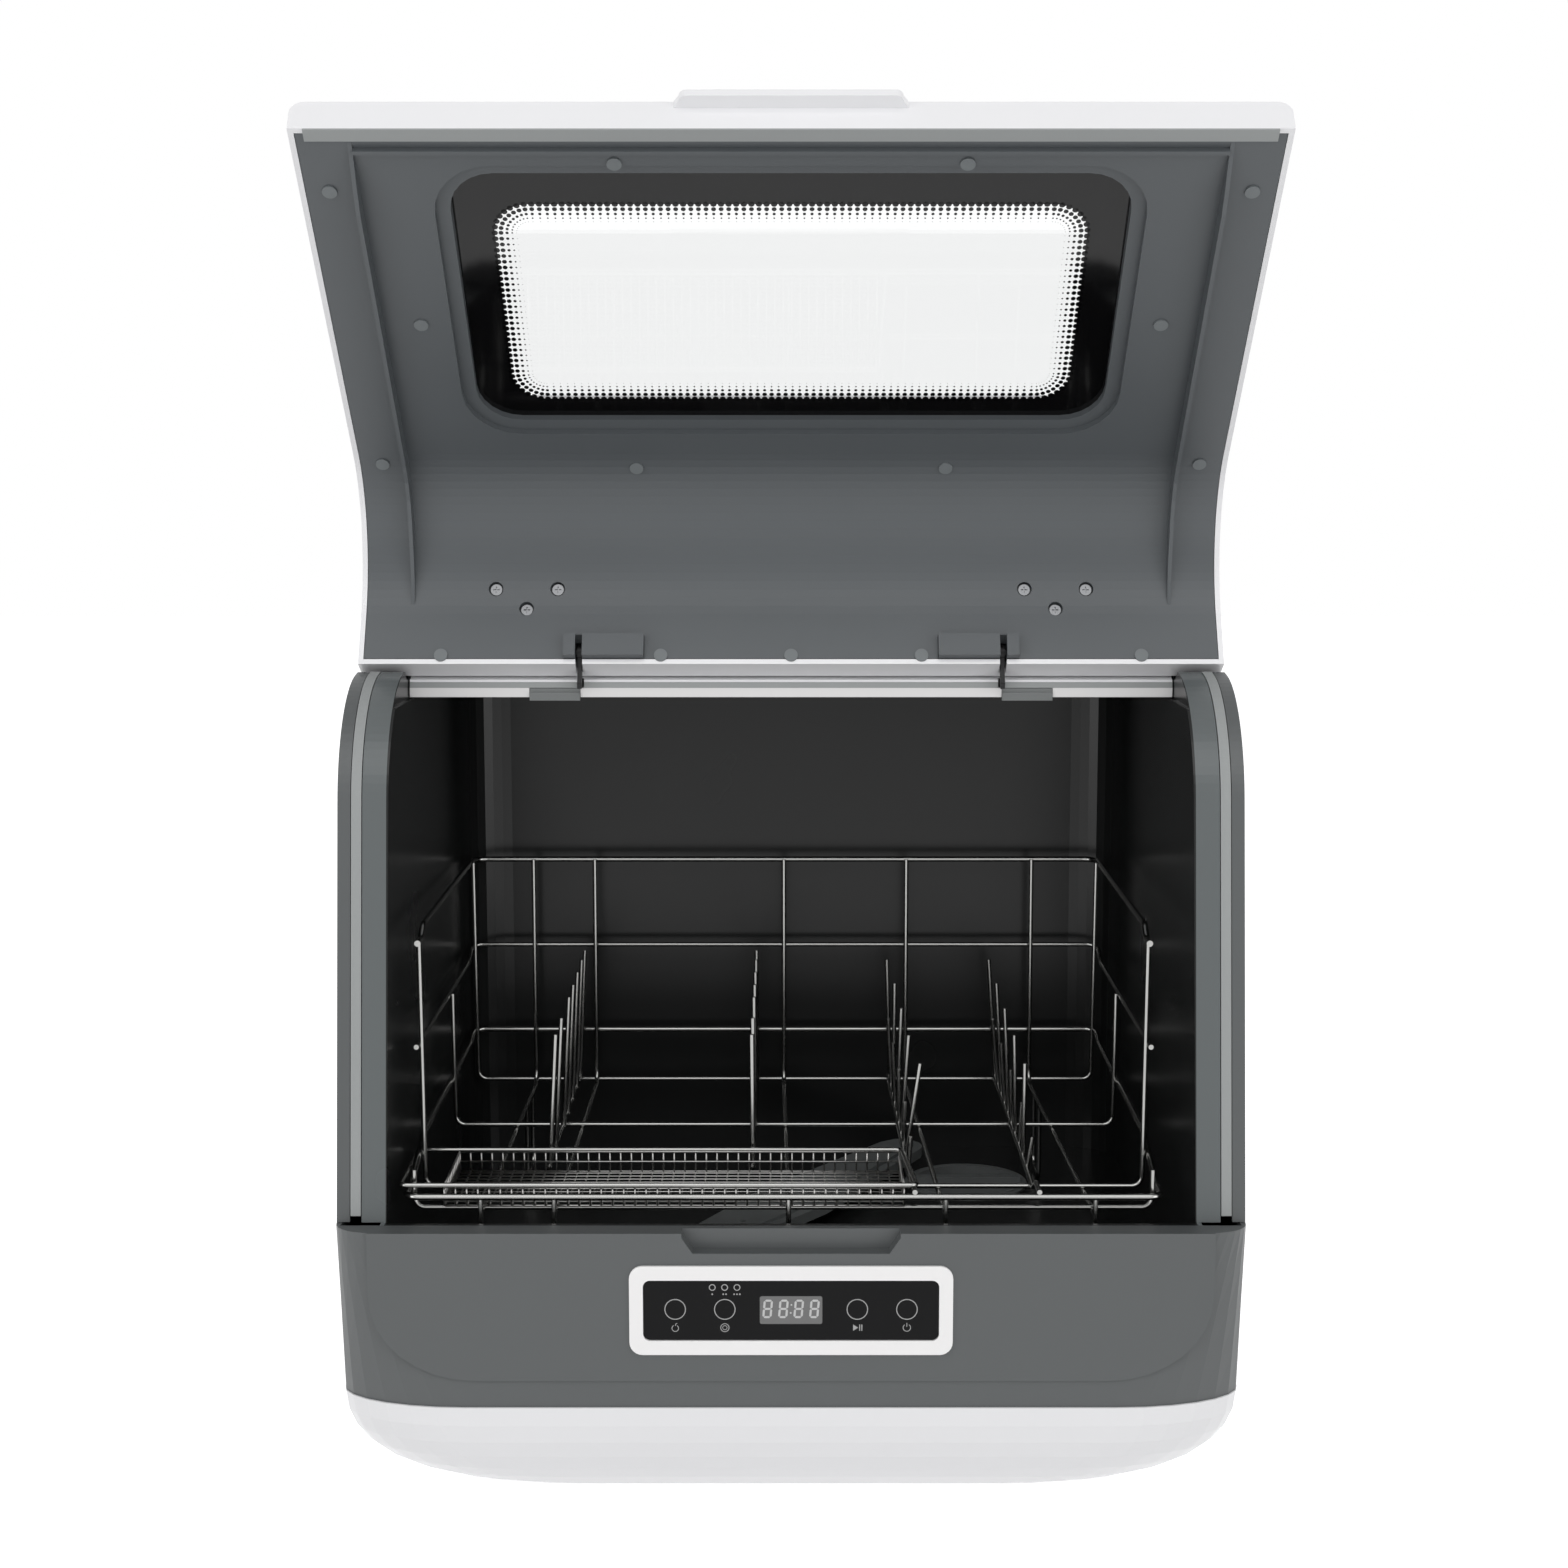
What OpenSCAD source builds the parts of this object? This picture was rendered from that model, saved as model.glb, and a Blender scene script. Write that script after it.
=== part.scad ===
// Countertop dishwasher with a curved lid that flips up, drawn with the lid open.
// X runs to the right, Y to the back and Z up. Modules are drawn from the front panel's plane
// and the counter; front_frame() moves them to the origin under the middle of the open machine.

/* [Cabinet] */
// Width over the side panels
body_w = 420; // [420:1:430]
// Depth from the front panel to the rear panel
body_d = 350; // [345:1:380]
// Height of the rubber feet under the base
foot_h = 3; // [3:0.5:4]
// Height of the seam between the white base and the grey front
seam_z = 55; // [52:1:58]
// Height of the sill, the top of the front panel
sill_z = 138; // [137:0.5:138]
// Wall of the moulded panels
wall = 2.5; // [2:0.1:3]

/* [Lid and opening] */
// Lean of the opening's front edge, in degrees from upright
lean = 8.2; // [8:0.1:8.4]
// Radius of the bend in the opening's edge
bend_r = 64; // [60:1:68]
// Rise of the opening's top edge towards the back, in degrees
top_slope = 7; // [6:0.5:8]
// Thickness of the lid
lid_t = 15; // [15:0.5:16]
// Angle that the lid swings from shut to open
open_angle = 125.7; // [110:0.1:126]
// Half width of the tub's mouth
mouth_half = 187; // [186:0.5:188]
// Half width of the glass
glass_half = 147; // [140:1:148]

/* [Rack] */
// Wire of the cross wires, tines and lower rails
wire_d = 2.4; // [2.2:0.1:2.6]
// Wire of the top rail
rail_d = 3; // [2.8:0.1:3.2]
// Height of the rack's floor wires
rack_floor_z = 141; // [140:0.5:142]
// Height of the rack's top rail
rack_top_z = 266.2; // [262:0.1:268]
// Height of the tall tines' tips
tine_top_z = 213; // [205:1:215]
// Pitch of the cutlery basket's mesh
mesh_pitch = 9; // [9:0.5:12]

/* [Spray arm] */
// Tip to tip length of the spray arm
arm_len = 254; // [240:2:254]
// Turn of the spray arm from the left and right line, in degrees
arm_turn = 58; // [0:1:180]

/* [Hidden] */
$fn = 48;

half_w = body_w / 2;
eps = 0.01;

// The opening's edge: a leaning line, an arc and a short line to the hinge
edge_start = [lid_t + 0.1, 134];
edge_end = [125.5, 388.5];
n_front = [-cos(lean), sin(lean)];
n_top = [-sin(top_slope), cos(top_slope)];
edge_det = n_front[0] * n_top[1] - n_front[1] * n_top[0];
edge_p = edge_start * n_front - bend_r;
edge_q = edge_end * n_top - bend_r;
bend_c = [(edge_p * n_top[1] - edge_q * n_front[1]) / edge_det,
          (edge_q * n_front[0] - edge_p * n_top[0]) / edge_det];
bend_a0 = 180 - lean;
bend_a1 = 90 + top_slope;
bend_steps = 20;

// The lid's free end rests this far above the sill
lid_gap = 0.6;
lid_foot_z = sill_z + lid_gap;
lid_foot = edge_start + (lid_foot_z - edge_start[1]) / cos(lean) * [sin(lean), cos(lean)];
lid_line = norm(bend_c + bend_r * n_front - lid_foot);
lid_arc = bend_r * (bend_a0 - bend_a1) * PI / 180;
lid_run = lid_line + lid_arc + norm(edge_end - bend_c - bend_r * n_top);

// Hinge axis, inside the lid's thickness near its rear edge
hinge_y = 116.2;
hinge_z = 393.7;
hinge_x = 103;
scoop_r = 13.4;
cover_top_z = 404;
cover_seat_z = 388.5;

// Tub
tub_front = 15;
tub_back = 284;
tub_floor = 97;
tub_roof = 372;
tub_back_half = 182.5;
tub_corner = 26;
rear_corner = 20;

// How far the hose connections stand out behind
spigot_out = 16;

// The open lid reaches furthest forward at the free end's inner edge
open_reach = opened(edge_at_z(lid_foot_z, -0.4))[0];
rear_reach = body_d + spigot_out;
origin_y = (rear_reach + open_reach) / 2;

function opened(p) = [
    hinge_y + (p[0] - hinge_y) * cos(open_angle) + (p[1] - hinge_z) * sin(open_angle),
    hinge_z - (p[0] - hinge_y) * sin(open_angle) + (p[1] - hinge_z) * cos(open_angle)];

// Points of the opening's edge, moved outwards by off, from height z0 to the hinge end
function edge_at_z(z0, off) =
    let (p = edge_start + off * n_front)
    p + (z0 - p[1]) / cos(lean) * [sin(lean), cos(lean)];
function edge_arc(off) = [
    for (i = [0 : bend_steps])
        let (a = bend_a0 + (bend_a1 - bend_a0) * i / bend_steps)
        bend_c + (bend_r + off) * [cos(a), sin(a)]];
function edge_line(z0, off, cut = 0) = concat(
    [edge_at_z(z0, off)],
    edge_arc(off),
    [edge_end + off * n_top - cut * [cos(top_slope), sin(top_slope)]]);
function flipped(list) = [for (i = [len(list) - 1 : -1 : 0]) list[i]];

// Place and tilt along the lid's inner face, s from the free end to the hinge end
function lid_tilt(s) =
    s < lid_line ? 90 - lean :
    s < lid_line + lid_arc ? 90 - lean - (s - lid_line) / bend_r * 180 / PI : top_slope;
function lid_point(s) =
    s < lid_line ? lid_foot + s * [sin(lean), cos(lean)] :
    s < lid_line + lid_arc ? bend_c + bend_r * [-sin(lid_tilt(s)), cos(lid_tilt(s))] :
    edge_end - (lid_run - s) * [cos(top_slope), sin(top_slope)];

// Quarter of an ellipse as n + 1 points about c, from angle a0 to a1
function ellipse_arc(c, rx, ry, a0, a1, n) = [
    for (i = [0 : n]) let (a = a0 + (a1 - a0) * i / n) c + [rx * cos(a), ry * sin(a)]];

// Placing
module front_frame() {
    translate([0, -origin_y, 0]) children();
}
module side_prism(x0, x1) {
    translate([x0, 0, 0]) rotate([90, 0, 90]) linear_extrude(x1 - x0) children();
}
module at_lid(s, x = 0, n = 0) {
    p = lid_point(s);
    translate([0, p[0], p[1]]) rotate([lid_tilt(s), 0, 0]) translate([x, 0, n]) children();
}
module lid_open() {
    translate([0, hinge_y, hinge_z]) rotate([-open_angle, 0, 0])
        translate([0, -hinge_y, -hinge_z]) children();
}
module hinge_barrel(r, x0, x1) {
    translate([x0, hinge_y, hinge_z]) rotate([0, 90, 0]) cylinder(h = x1 - x0, r = r);
}
module both_sides() {
    children();
    mirror([1, 0, 0]) children();
}
module edge_band(z0, inner, outer, cut = 0) {
    polygon(concat(edge_line(z0, outer, cut), flipped(edge_line(z0, inner, cut))));
}
module rounded_square(size, r) {
    x = size[0] / 2 - r;
    y = size[1] / 2 - r;
    n = 6;
    polygon(concat(
        ellipse_arc([x, y], r, r, 0, 90, n), ellipse_arc([-x, y], r, r, 90, 180, n),
        ellipse_arc([-x, -y], r, r, 180, 270, n), ellipse_arc([x, -y], r, r, 270, 360, n)));
}

// A solid through rings of equal length, bottom first, each ring counterclockwise from above
module loft(rings) {
    n = len(rings[0]);
    m = len(rings);
    polyhedron(
        points = [for (r = rings) each r],
        faces = concat(
            [[for (i = [0 : n - 1]) i]],
            [[for (i = [n - 1 : -1 : 0]) (m - 1) * n + i]],
            [for (k = [0 : m - 2], i = [0 : n - 1]) let (j = (i + 1) % n)
                [k * n + i, (k + 1) * n + j, k * n + j]],
            [for (k = [0 : m - 2], i = [0 : n - 1]) let (j = (i + 1) % n)
                [k * n + i, (k + 1) * n + i, (k + 1) * n + j]]),
        convexity = 6);
}

// A tray with walls on all sides: outer and inner rings of equal count and length, which start
// and end on the open side
module tray(outer, inner) {
    n = len(outer[0]);
    m = len(outer);
    top = (m - 1) * n;
    in0 = m * n;
    last = n - 1;
    polyhedron(
        points = [for (r = concat(outer, inner)) each r],
        faces = concat(
            [[for (i = [0 : last]) i], [for (i = [last : -1 : 0]) top + i],
             [for (i = [last : -1 : 0]) in0 + i], [for (i = [0 : last]) in0 + top + i],
             [last, in0 + last, in0, 0],
             [top, in0 + top, in0 + top + last, top + last]],
            [for (k = [0 : m - 2], i = [0 : last - 1]) let (a = k * n + i, b = a + n)
                [a, b, b + 1, a + 1]],
            [for (k = [0 : m - 2], i = [0 : last - 1]) let (a = in0 + k * n + i, b = a + n)
                [a, a + 1, b + 1, b]],
            [for (k = [0 : m - 2]) let (a = k * n, b = a + n)
                [a + last, b + last, in0 + b + last, in0 + a + last]],
            [for (k = [0 : m - 2]) let (a = k * n, b = a + n)
                [in0 + a, in0 + b, b, a]]),
        convexity = 6);
}

// Wire: straight stretches with true bends at the corners
function unit(v) = v / norm(v);
function bend_half(a, b, c) = acos(unit(b - a) * unit(c - b)) / 2;
module rod(a, b, r) {
    v = b - a;
    translate(a) rotate([0, acos(v[2] / norm(v)), atan2(v[1], v[0])])
        cylinder(h = norm(v), r = r, $fn = 20);
}
module elbow(a, b, c, r, bend) {
    u = unit(b - a);
    v = unit(c - b);
    n = unit(v - (v * u) * u);
    p = b - bend * tan(bend_half(a, b, c)) * u + bend * n;
    w = cross(-n, u);
    multmatrix([
        [-n[0], u[0], w[0], p[0]],
        [-n[1], u[1], w[1], p[1]],
        [-n[2], u[2], w[2], p[2]],
        [0, 0, 0, 1]])
        rotate_extrude(angle = 2 * bend_half(a, b, c), $fn = 48)
            translate([bend, 0]) circle(r = r, $fn = 20);
}
// A bend is a hair thicker than the straights, whose ends reach into it
bite = 0.05;
module wire(points, r, bend) {
    last = len(points) - 1;
    cut = [for (i = [0 : last]) i == 0 || i == last ? 0 :
        bend * tan(bend_half(points[i - 1], points[i], points[i + 1]))];
    for (i = [0 : last - 1]) {
        u = unit(points[i + 1] - points[i]);
        rod(points[i] + (cut[i] - (i > 0 ? bite : 0)) * u,
            points[i + 1] - (cut[i + 1] - (i < last - 1 ? bite : 0)) * u, r);
    }
    for (i = [1 : last - 1])
        elbow(points[i - 1], points[i], points[i + 1], r + 0.01, bend);
}

// Base: a bowl with soft lower corners, open at the top
function bowl_ring(z, inset_x, inset_f, inset_r, half, front, back, cx, cy) =
    let (x = half - inset_x, f = front + inset_f, b = back - inset_r)
    [for (p = concat(
        ellipse_arc([x - cx, f + cy], cx, cy, 270, 360, 7),
        ellipse_arc([x - rear_corner, b - rear_corner], rear_corner, rear_corner, 0, 90, 5),
        ellipse_arc([-x + rear_corner, b - rear_corner], rear_corner, rear_corner, 90, 180, 5),
        ellipse_arc([-x + cx, f + cy], cx, cy, 180, 270, 7))) [p[0], p[1], z]];
function bowl(grow, top, bottom, levels) = [
    for (k = [0 : levels])
        let (t = cos(90 * k / levels), c = 1 - sqrt(1 - t * t),
             z = k == levels ? top : seam_z - (seam_z - bottom) * t)
        bowl_ring(z, 75 * c, 44 * c, 30 * c, half_w - grow, grow, body_d - grow, 60, 28)];

module base_bowl() {
    color("gainsboro") front_frame() {
        difference() {
            loft(bowl(0, seam_z, foot_h, 9));
            loft(bowl(wall, seam_z + 1, foot_h + wall, 6));
        }
    }
}

module rubber_feet() {
    color("dimgray") front_frame()
        for (x = [-105, 105], y = [75, 280])
            translate([x, y, 0]) cylinder(h = foot_h, r1 = 11, r2 = 12.5);
}

// Front panel: upright below the sill, its corners tighter towards the sill
panel_return = 46;
face_set = 1.2;
ledge_back = 12.2;
function panel_ring(z, inset, back) =
    let (t = max(0, (z - seam_z) / (sill_z - seam_z)), cx = 60 - 42 * t, cy = 28 - 13 * t)
    [for (p = concat(
        ellipse_arc([half_w - cx, face_set + cy], cx - inset, cy - inset, 270, 360, 7),
        [[half_w - inset, back]], [[inset - half_w, back]],
        ellipse_arc([cx - half_w, face_set + cy], cx - inset, cy - inset, 180, 270, 7)))
        [p[0], p[1], z]];
panel_half = 193.6;
panel_low = 68;
control_z = 102;
control_size = [148, 42];
control_hole = [143.4, 37.4];
recess_half = 50;
recess_deep = 9.4;
recess_in = 8;
module recess_shape(grow) {
    polygon([
        [-recess_half - grow, sill_z + 1], [-recess_half - grow, sill_z - 2],
        [-recess_half + 5, sill_z - recess_deep - grow],
        [recess_half - 5, sill_z - recess_deep - grow],
        [recess_half + grow, sill_z - 2], [recess_half + grow, sill_z + 1]]);
}
module front_plate(y0, y1) {
    translate([0, y1, 0]) rotate([90, 0, 0]) linear_extrude(y1 - y0) children();
}
module panel_plateau() {
    low = [panel_half - 48, panel_low + 40];
    polygon(concat(
        [[panel_half, sill_z], [-panel_half, sill_z]],
        ellipse_arc([-low[0], low[1]], 48, 40, 180, 270, 8),
        ellipse_arc([low[0], low[1]], 48, 40, 270, 360, 8)));
}
module front_panel() {
    color("slategray") front_frame() difference() {
        union() {
            difference() {
                loft([for (z = [seam_z, 76, 97, 118, sill_z]) panel_ring(z, 0, panel_return)]);
                loft([for (z = [seam_z - 1, 76, 97, 118, sill_z - wall])
                    panel_ring(z, wall, panel_return + 1)]);
                translate([wall - half_w, ledge_back, sill_z - 10])
                    cube([body_w - 2 * wall, panel_return, 11]);
            }
            front_plate(0, face_set + 0.4) panel_plateau();
            front_plate(face_set, recess_in + 2) intersection() {
                recess_shape(2);
                translate([-80, sill_z - 20]) square([160, 20]);
            }
        }
        front_plate(-1, recess_in) recess_shape(0);
        front_plate(-1, 10) translate([0, control_z]) rounded_square(control_hole, 4);
    }
}

// Side panels: flat, with a rolled edge along the opening
edge_gap = 1;
roll_w = 6;
side_join = 0.2;
module side_panel() {
    back = body_d - rear_corner;
    difference() {
        union() {
            side_prism(half_w - wall, half_w) polygon(concat(
                [[panel_return + side_join, seam_z + side_join],
                 [back, seam_z + side_join], [back, cover_seat_z - side_join]],
                flipped(edge_line(sill_z + side_join, -edge_gap)),
                [[panel_return + side_join, sill_z + side_join]]));
            side_prism(half_w - roll_w, half_w - wall + eps)
                edge_band(sill_z + side_join, -3.5, -edge_gap);
        }
        hinge_barrel(scoop_r, half_w - roll_w - 1, half_w + 1);
    }
}
module side_panel_right() {
    color("slategray") front_frame() side_panel();
}
module side_panel_left() {
    color("slategray") front_frame() mirror([1, 0, 0]) side_panel();
}

// Rear panel with its wrapped corners, vent slots and service holes
inlet_at = [-150, 78];
drain_at = [-100, 78];
gland_at = [150, 78];
inlet_r = 13.2;
drain_r = 9.5;
gland_r = 8;
shoulder = 1.4;
shoulder_out = 1;
module rear_hole(at, r) {
    translate([at[0], body_d - 10, at[1]]) rotate([-90, 0, 0]) cylinder(h = 20, r = r);
}
module rear_plan(inset) {
    r = rear_corner;
    x = half_w - r;
    y = body_d - r;
    polygon(concat(
        ellipse_arc([x, y], r - inset, r - inset, 0, 90, 6),
        ellipse_arc([-x, y], r - inset, r - inset, 90, 180, 6),
        inset > 0 ? [[inset - half_w, y - 1], [half_w - inset, y - 1]] : []));
}
module rear_panel() {
    color("slategray") front_frame() difference() {
        translate([0, 0, seam_z + side_join])
            linear_extrude(cover_seat_z - seam_z - 2 * side_join) difference() {
                rear_plan(0);
                rear_plan(wall);
            }
        rear_hole(inlet_at, inlet_r + shoulder + 0.3);
        rear_hole(drain_at, drain_r + shoulder + 0.3);
        rear_hole(gland_at, gland_r + 0.3);
        for (z = [300 : 12 : 348], x = [-60, 60])
            translate([x - 45, body_d - 5, z]) cube([90, 10, 5]);
    }
}

// White top cover: soft edged tray turned over, with the trough that the lid's end swings in
lip_front = 117;
lip_z = 379.2;
lip_half = mouth_half - 0.5;
arm_slot = 3.4;
function cover_ring(z, inset, front, shrink) =
    let (x = half_w - inset - shrink, y = body_d - inset - shrink, r = rear_corner - shrink)
    [for (p = concat(
        [[-x, front]], [[x, front]],
        ellipse_arc([x - r, y - r], r, r, 0, 90, 6),
        ellipse_arc([-x + r, y - r], r, r, 90, 180, 6))) [p[0], p[1], z]];
// Room for the outer face of the lid when it is fully open
module open_lid_room() {
    hinge = [hinge_y, hinge_z];
    lie = 180 + top_slope - open_angle;
    away = lid_t - (hinge - edge_end) * n_top + 1;
    low = hinge + away * [sin(lie), -cos(lie)];
    side_prism(-half_w - 1, half_w + 1) polygon([
        hinge, low, low + 30 * [cos(lie), sin(lie)], hinge + [-5, 30]]);
}
module top_cover() {
    top = cover_top_z;
    color("whitesmoke") front_frame() difference() {
        union() {
            difference() {
                loft([for (k = [0 : 5]) let (a = 18 * k, r = 8)
                    cover_ring(k == 0 ? cover_seat_z : top - r + r * sin(a), r * (1 - cos(a)),
                        lip_front, 0)]);
                loft([for (z = [cover_seat_z - 1, top - 8, top - wall])
                    cover_ring(z, z > top - 6 ? 5 : 0, hinge_y + scoop_r + wall + 4, wall)]);
            }
            translate([-lip_half, lip_front, lip_z])
                cube([2 * lip_half, 14, cover_seat_z - lip_z + 1]);
        }
        hinge_barrel(scoop_r, -half_w - 1, half_w + 1);
        open_lid_room();
        both_sides() translate([hinge_x - arm_slot / 2, lip_front - 1, lip_z - 1])
            cube([arm_slot, 16, 2.6]);
    }
}

// Tub: one deep moulding with a flange along the mouth, drawn back corners and a roof
module tub_plan(grow) {
    c = tub_corner;
    x = tub_back_half - c;
    y = tub_back - c;
    polygon(concat(
        [[-mouth_half - grow, tub_front - grow], [mouth_half + grow, tub_front - grow]],
        ellipse_arc([x, y], c + grow, c + grow, 0, 90, 8),
        ellipse_arc([-x, y], c + grow, c + grow, 90, 180, 8)));
}
arm_c = [0, 148.6];
post_r = 8;
filter_c = [95, 215];
filter_r = 33;
module tub_profile() {
    polygon(concat(
        [[tub_front - wall, tub_floor - wall], [tub_front - wall, sill_z]],
        edge_line(sill_z, -edge_gap),
        [[edge_end[0], tub_roof + wall], [tub_back + wall, tub_roof + wall],
         [tub_back + wall, tub_floor - wall]]));
}
module inner_tub() {
    color("dimgray") front_frame() difference() {
        union() {
            difference() {
                intersection() {
                    translate([0, 0, tub_floor - wall])
                        linear_extrude(cover_top_z - tub_floor) tub_plan(wall);
                    side_prism(-half_w, half_w) tub_profile();
                }
                translate([0, 0, tub_floor]) linear_extrude(tub_roof - tub_floor) tub_plan(0);
                translate([-mouth_half, tub_front, tub_roof - 1])
                    cube([2 * mouth_half, lip_front + 5.4 - tub_front, 40]);
                translate([-mouth_half, lip_front, tub_roof + wall])
                    cube([2 * mouth_half, 28, 40]);
            }
            both_sides() side_prism(mouth_half, mouth_half + 11.5)
                edge_band(sill_z, -4, -edge_gap, 12);
        }
        hinge_barrel(scoop_r, -half_w, half_w);
        translate([arm_c[0], arm_c[1], tub_floor - 5]) cylinder(h = 10, r = post_r + 4.2);
        translate([filter_c[0], filter_c[1], tub_floor - 5]) cylinder(h = 10, r = filter_r + 0.4);
    }
}

module tub_gasket() {
    difference() {
        side_prism(mouth_half + 11.9, half_w - roll_w - 0.4) edge_band(sill_z + 3, -5, -0.7, 12);
        hinge_barrel(scoop_r, mouth_half, half_w);
    }
}
module tub_gasket_right() {
    color("darkgray") front_frame() tub_gasket();
}
module tub_gasket_left() {
    color("darkgray") front_frame() mirror([1, 0, 0]) tub_gasket();
}

// Seal and white strip across the top of the mouth
seal_z = 376.4;
strip_z = 371.9;
clip_x = [103, 128];
module mouth_bar(x0, x1, y0, y1, z0, z1) {
    translate([x0, y0, z0]) cube([x1 - x0, y1 - y0, z1 - z0]);
}
module top_seal() {
    color("gray") front_frame() difference() {
        mouth_bar(-lip_half, lip_half, lip_front - 0.5, lip_front + 5, seal_z, lip_z);
        both_sides() mouth_bar(hinge_x - arm_slot / 2, hinge_x + arm_slot / 2,
            lip_front - 2, lip_front + 6, seal_z - 1, lip_z + 1);
    }
}
module mouth_strip() {
    color("white") front_frame() difference() {
        mouth_bar(-lip_half, lip_half, lip_front - 1, lip_front + 5, strip_z, seal_z);
        both_sides() mouth_bar(clip_x[0], clip_x[1], lip_front - 2, lip_front + 6,
            strip_z - 1, seal_z + 1);
    }
}
module strip_clips() {
    color("gray") front_frame() both_sides() {
        mouth_bar(clip_x[0] + 0.2, clip_x[1] - 0.2, lip_front - 1, lip_front + 5,
            strip_z, seal_z - 0.2);
        mouth_bar(clip_x[0] + 0.2, clip_x[1] - 0.2, lip_front - 2, lip_front + 1,
            strip_z - 1.6, strip_z + 2.4);
    }
}

// Hinge arms: steel plates with a riveted pin, seated on the tub's roof
arm_t = 2;
pin_r = 2;
arm_lean = -105;
module arm_outline() {
    foot_z = [seal_z + 0.1, lip_z + 1];
    knee = [hinge_y, hinge_z] + 15.5 * [cos(arm_lean), sin(arm_lean)];
    side = 2.2 * [cos(arm_lean + 90), sin(arm_lean + 90)];
    translate([hinge_y, hinge_z]) circle(r = 3.8);
    polygon([[hinge_y, hinge_z] - side, [hinge_y, hinge_z] + side,
        knee + side + [0.3, 0.2], knee - side]);
    polygon([[knee[0] - 2.4, foot_z[1] - 1], [knee[0] - 1, foot_z[1]], [140, foot_z[1]],
        [140, foot_z[0]], [knee[0] - 2.4, foot_z[0]]]);
}
module hinge_arm() {
    side_prism(hinge_x - arm_t / 2, hinge_x + arm_t / 2) arm_outline();
    hinge_barrel(pin_r, hinge_x - 5.5, hinge_x + 5.5);
    mouth_bar(hinge_x - 8, hinge_x + 8, 124, 140, tub_roof + wall, seal_z + 0.3);
}
module hinge_arm_right() {
    color("silver") front_frame() hinge_arm();
}
module hinge_arm_left() {
    color("silver") front_frame() mirror([1, 0, 0]) hinge_arm();
}

// Lid: outer shell swept along the edge, with a soft outer corner
lid_in = 0.4;
lid_skin = 2.5;
function lid_rings(z0, section, cut) =
    let (lines = [for (q = section) edge_line(z0, q[1], cut)])
    [for (k = [0 : len(lines[0]) - 1])
        [for (i = [0 : len(section) - 1]) [section[i][0], lines[i][k][0], lines[i][k][1]]]];
function lid_section(half, low, high, r) = concat(
    [[-half, low]], ellipse_arc([r - half, high - r], r, r, 180, 90, 5),
    ellipse_arc([half - r, high - r], r, r, 90, 0, 5), [[half, low]]);
glass_s = [26, 174];
glass_corner = 20;
module at_glass() {
    at_lid((glass_s[0] + glass_s[1]) / 2) children();
}
module glass_shape(grow) {
    rounded_square([2 * (glass_half + grow), glass_s[1] - glass_s[0] + 2 * grow],
        glass_corner + grow);
}
// The fixed arm passes through the lid here as the lid turns about it
module arm_sweep() {
    a0 = arm_lean - 2;
    a1 = arm_lean + open_angle + 1.5;
    side0 = 2.7 * [cos(a0 - 90), sin(a0 - 90)];
    side1 = 2.7 * [cos(a1 + 90), sin(a1 + 90)];
    both_sides() side_prism(hinge_x - arm_slot / 2, hinge_x + arm_slot / 2)
        translate([hinge_y, hinge_z]) {
            circle(r = 4.5);
            polygon([side0, side0 + 30 * [cos(a0), sin(a0)], [20, -26],
                side1 + 30 * [cos(a1), sin(a1)], side1]);
        }
}
tab_half = 49;
tab_low = 131.4;
tab_corner = 3.5;
module tab_outline() {
    polygon(concat(
        [[-tab_half - 1, lid_foot_z + 1]],
        ellipse_arc([-tab_half + 2 + tab_corner, tab_low + tab_corner], tab_corner, tab_corner, 180, 270, 5),
        ellipse_arc([tab_half - 2 - tab_corner, tab_low + tab_corner], tab_corner, tab_corner, 270, 360, 5),
        [[tab_half + 1, lid_foot_z + 1]]));
}
module lid_shell() {
    color("whitesmoke") front_frame() lid_open() difference() {
        union() {
            tray(lid_rings(lid_foot_z, lid_section(half_w, lid_in, lid_t, 6), 0),
                lid_rings(lid_foot_z + lid_skin,
                    lid_section(half_w - lid_skin, lid_in, lid_t - lid_skin, 4), lid_skin));
            front_plate(0.6, 4) tab_outline();
        }
        at_glass() translate([0, 0, lid_t - 6]) linear_extrude(10) glass_shape(-6);
        arm_sweep();
    }
}

// Lid liner with the stepped frame round the glass, side ribs and screw wells
liner_t = 2;
liner_half = half_w - lid_skin - 0.3;
liner_low = lid_foot_z + lid_skin + 0.3;
liner_out = lid_in + liner_t;
frame_grow = 6.5;
rib_x = 184;
rib_t = 1.8;
rib_h = 8;
rib_ends = [6.6, 273];
screw_at = [[114.3, 265], [144.5, 265], [129.3, 275]];
plug_at = [
    [74.7, 18.3], [197, 33.4], [167.2, 110.2], [196.6, 200.5], [74.5, 203],
    [170, 300], [63.3, 300]];
module rib_outline() {
    steps = 24;
    run = rib_ends[1] - rib_ends[0];
    function height(t) = lid_in - rib_h * min(1, min(t, 1 - t) * 9);
    function on(s, n) = lid_point(s) + n * [-sin(lid_tilt(s)), cos(lid_tilt(s))];
    polygon(concat(
        [for (i = [0 : steps]) on(rib_ends[0] + run * i / steps, liner_out - 0.5)],
        [for (i = [steps : -1 : 0]) let (t = i / steps)
            on(rib_ends[0] + run * t, height(t))]));
}
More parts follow.
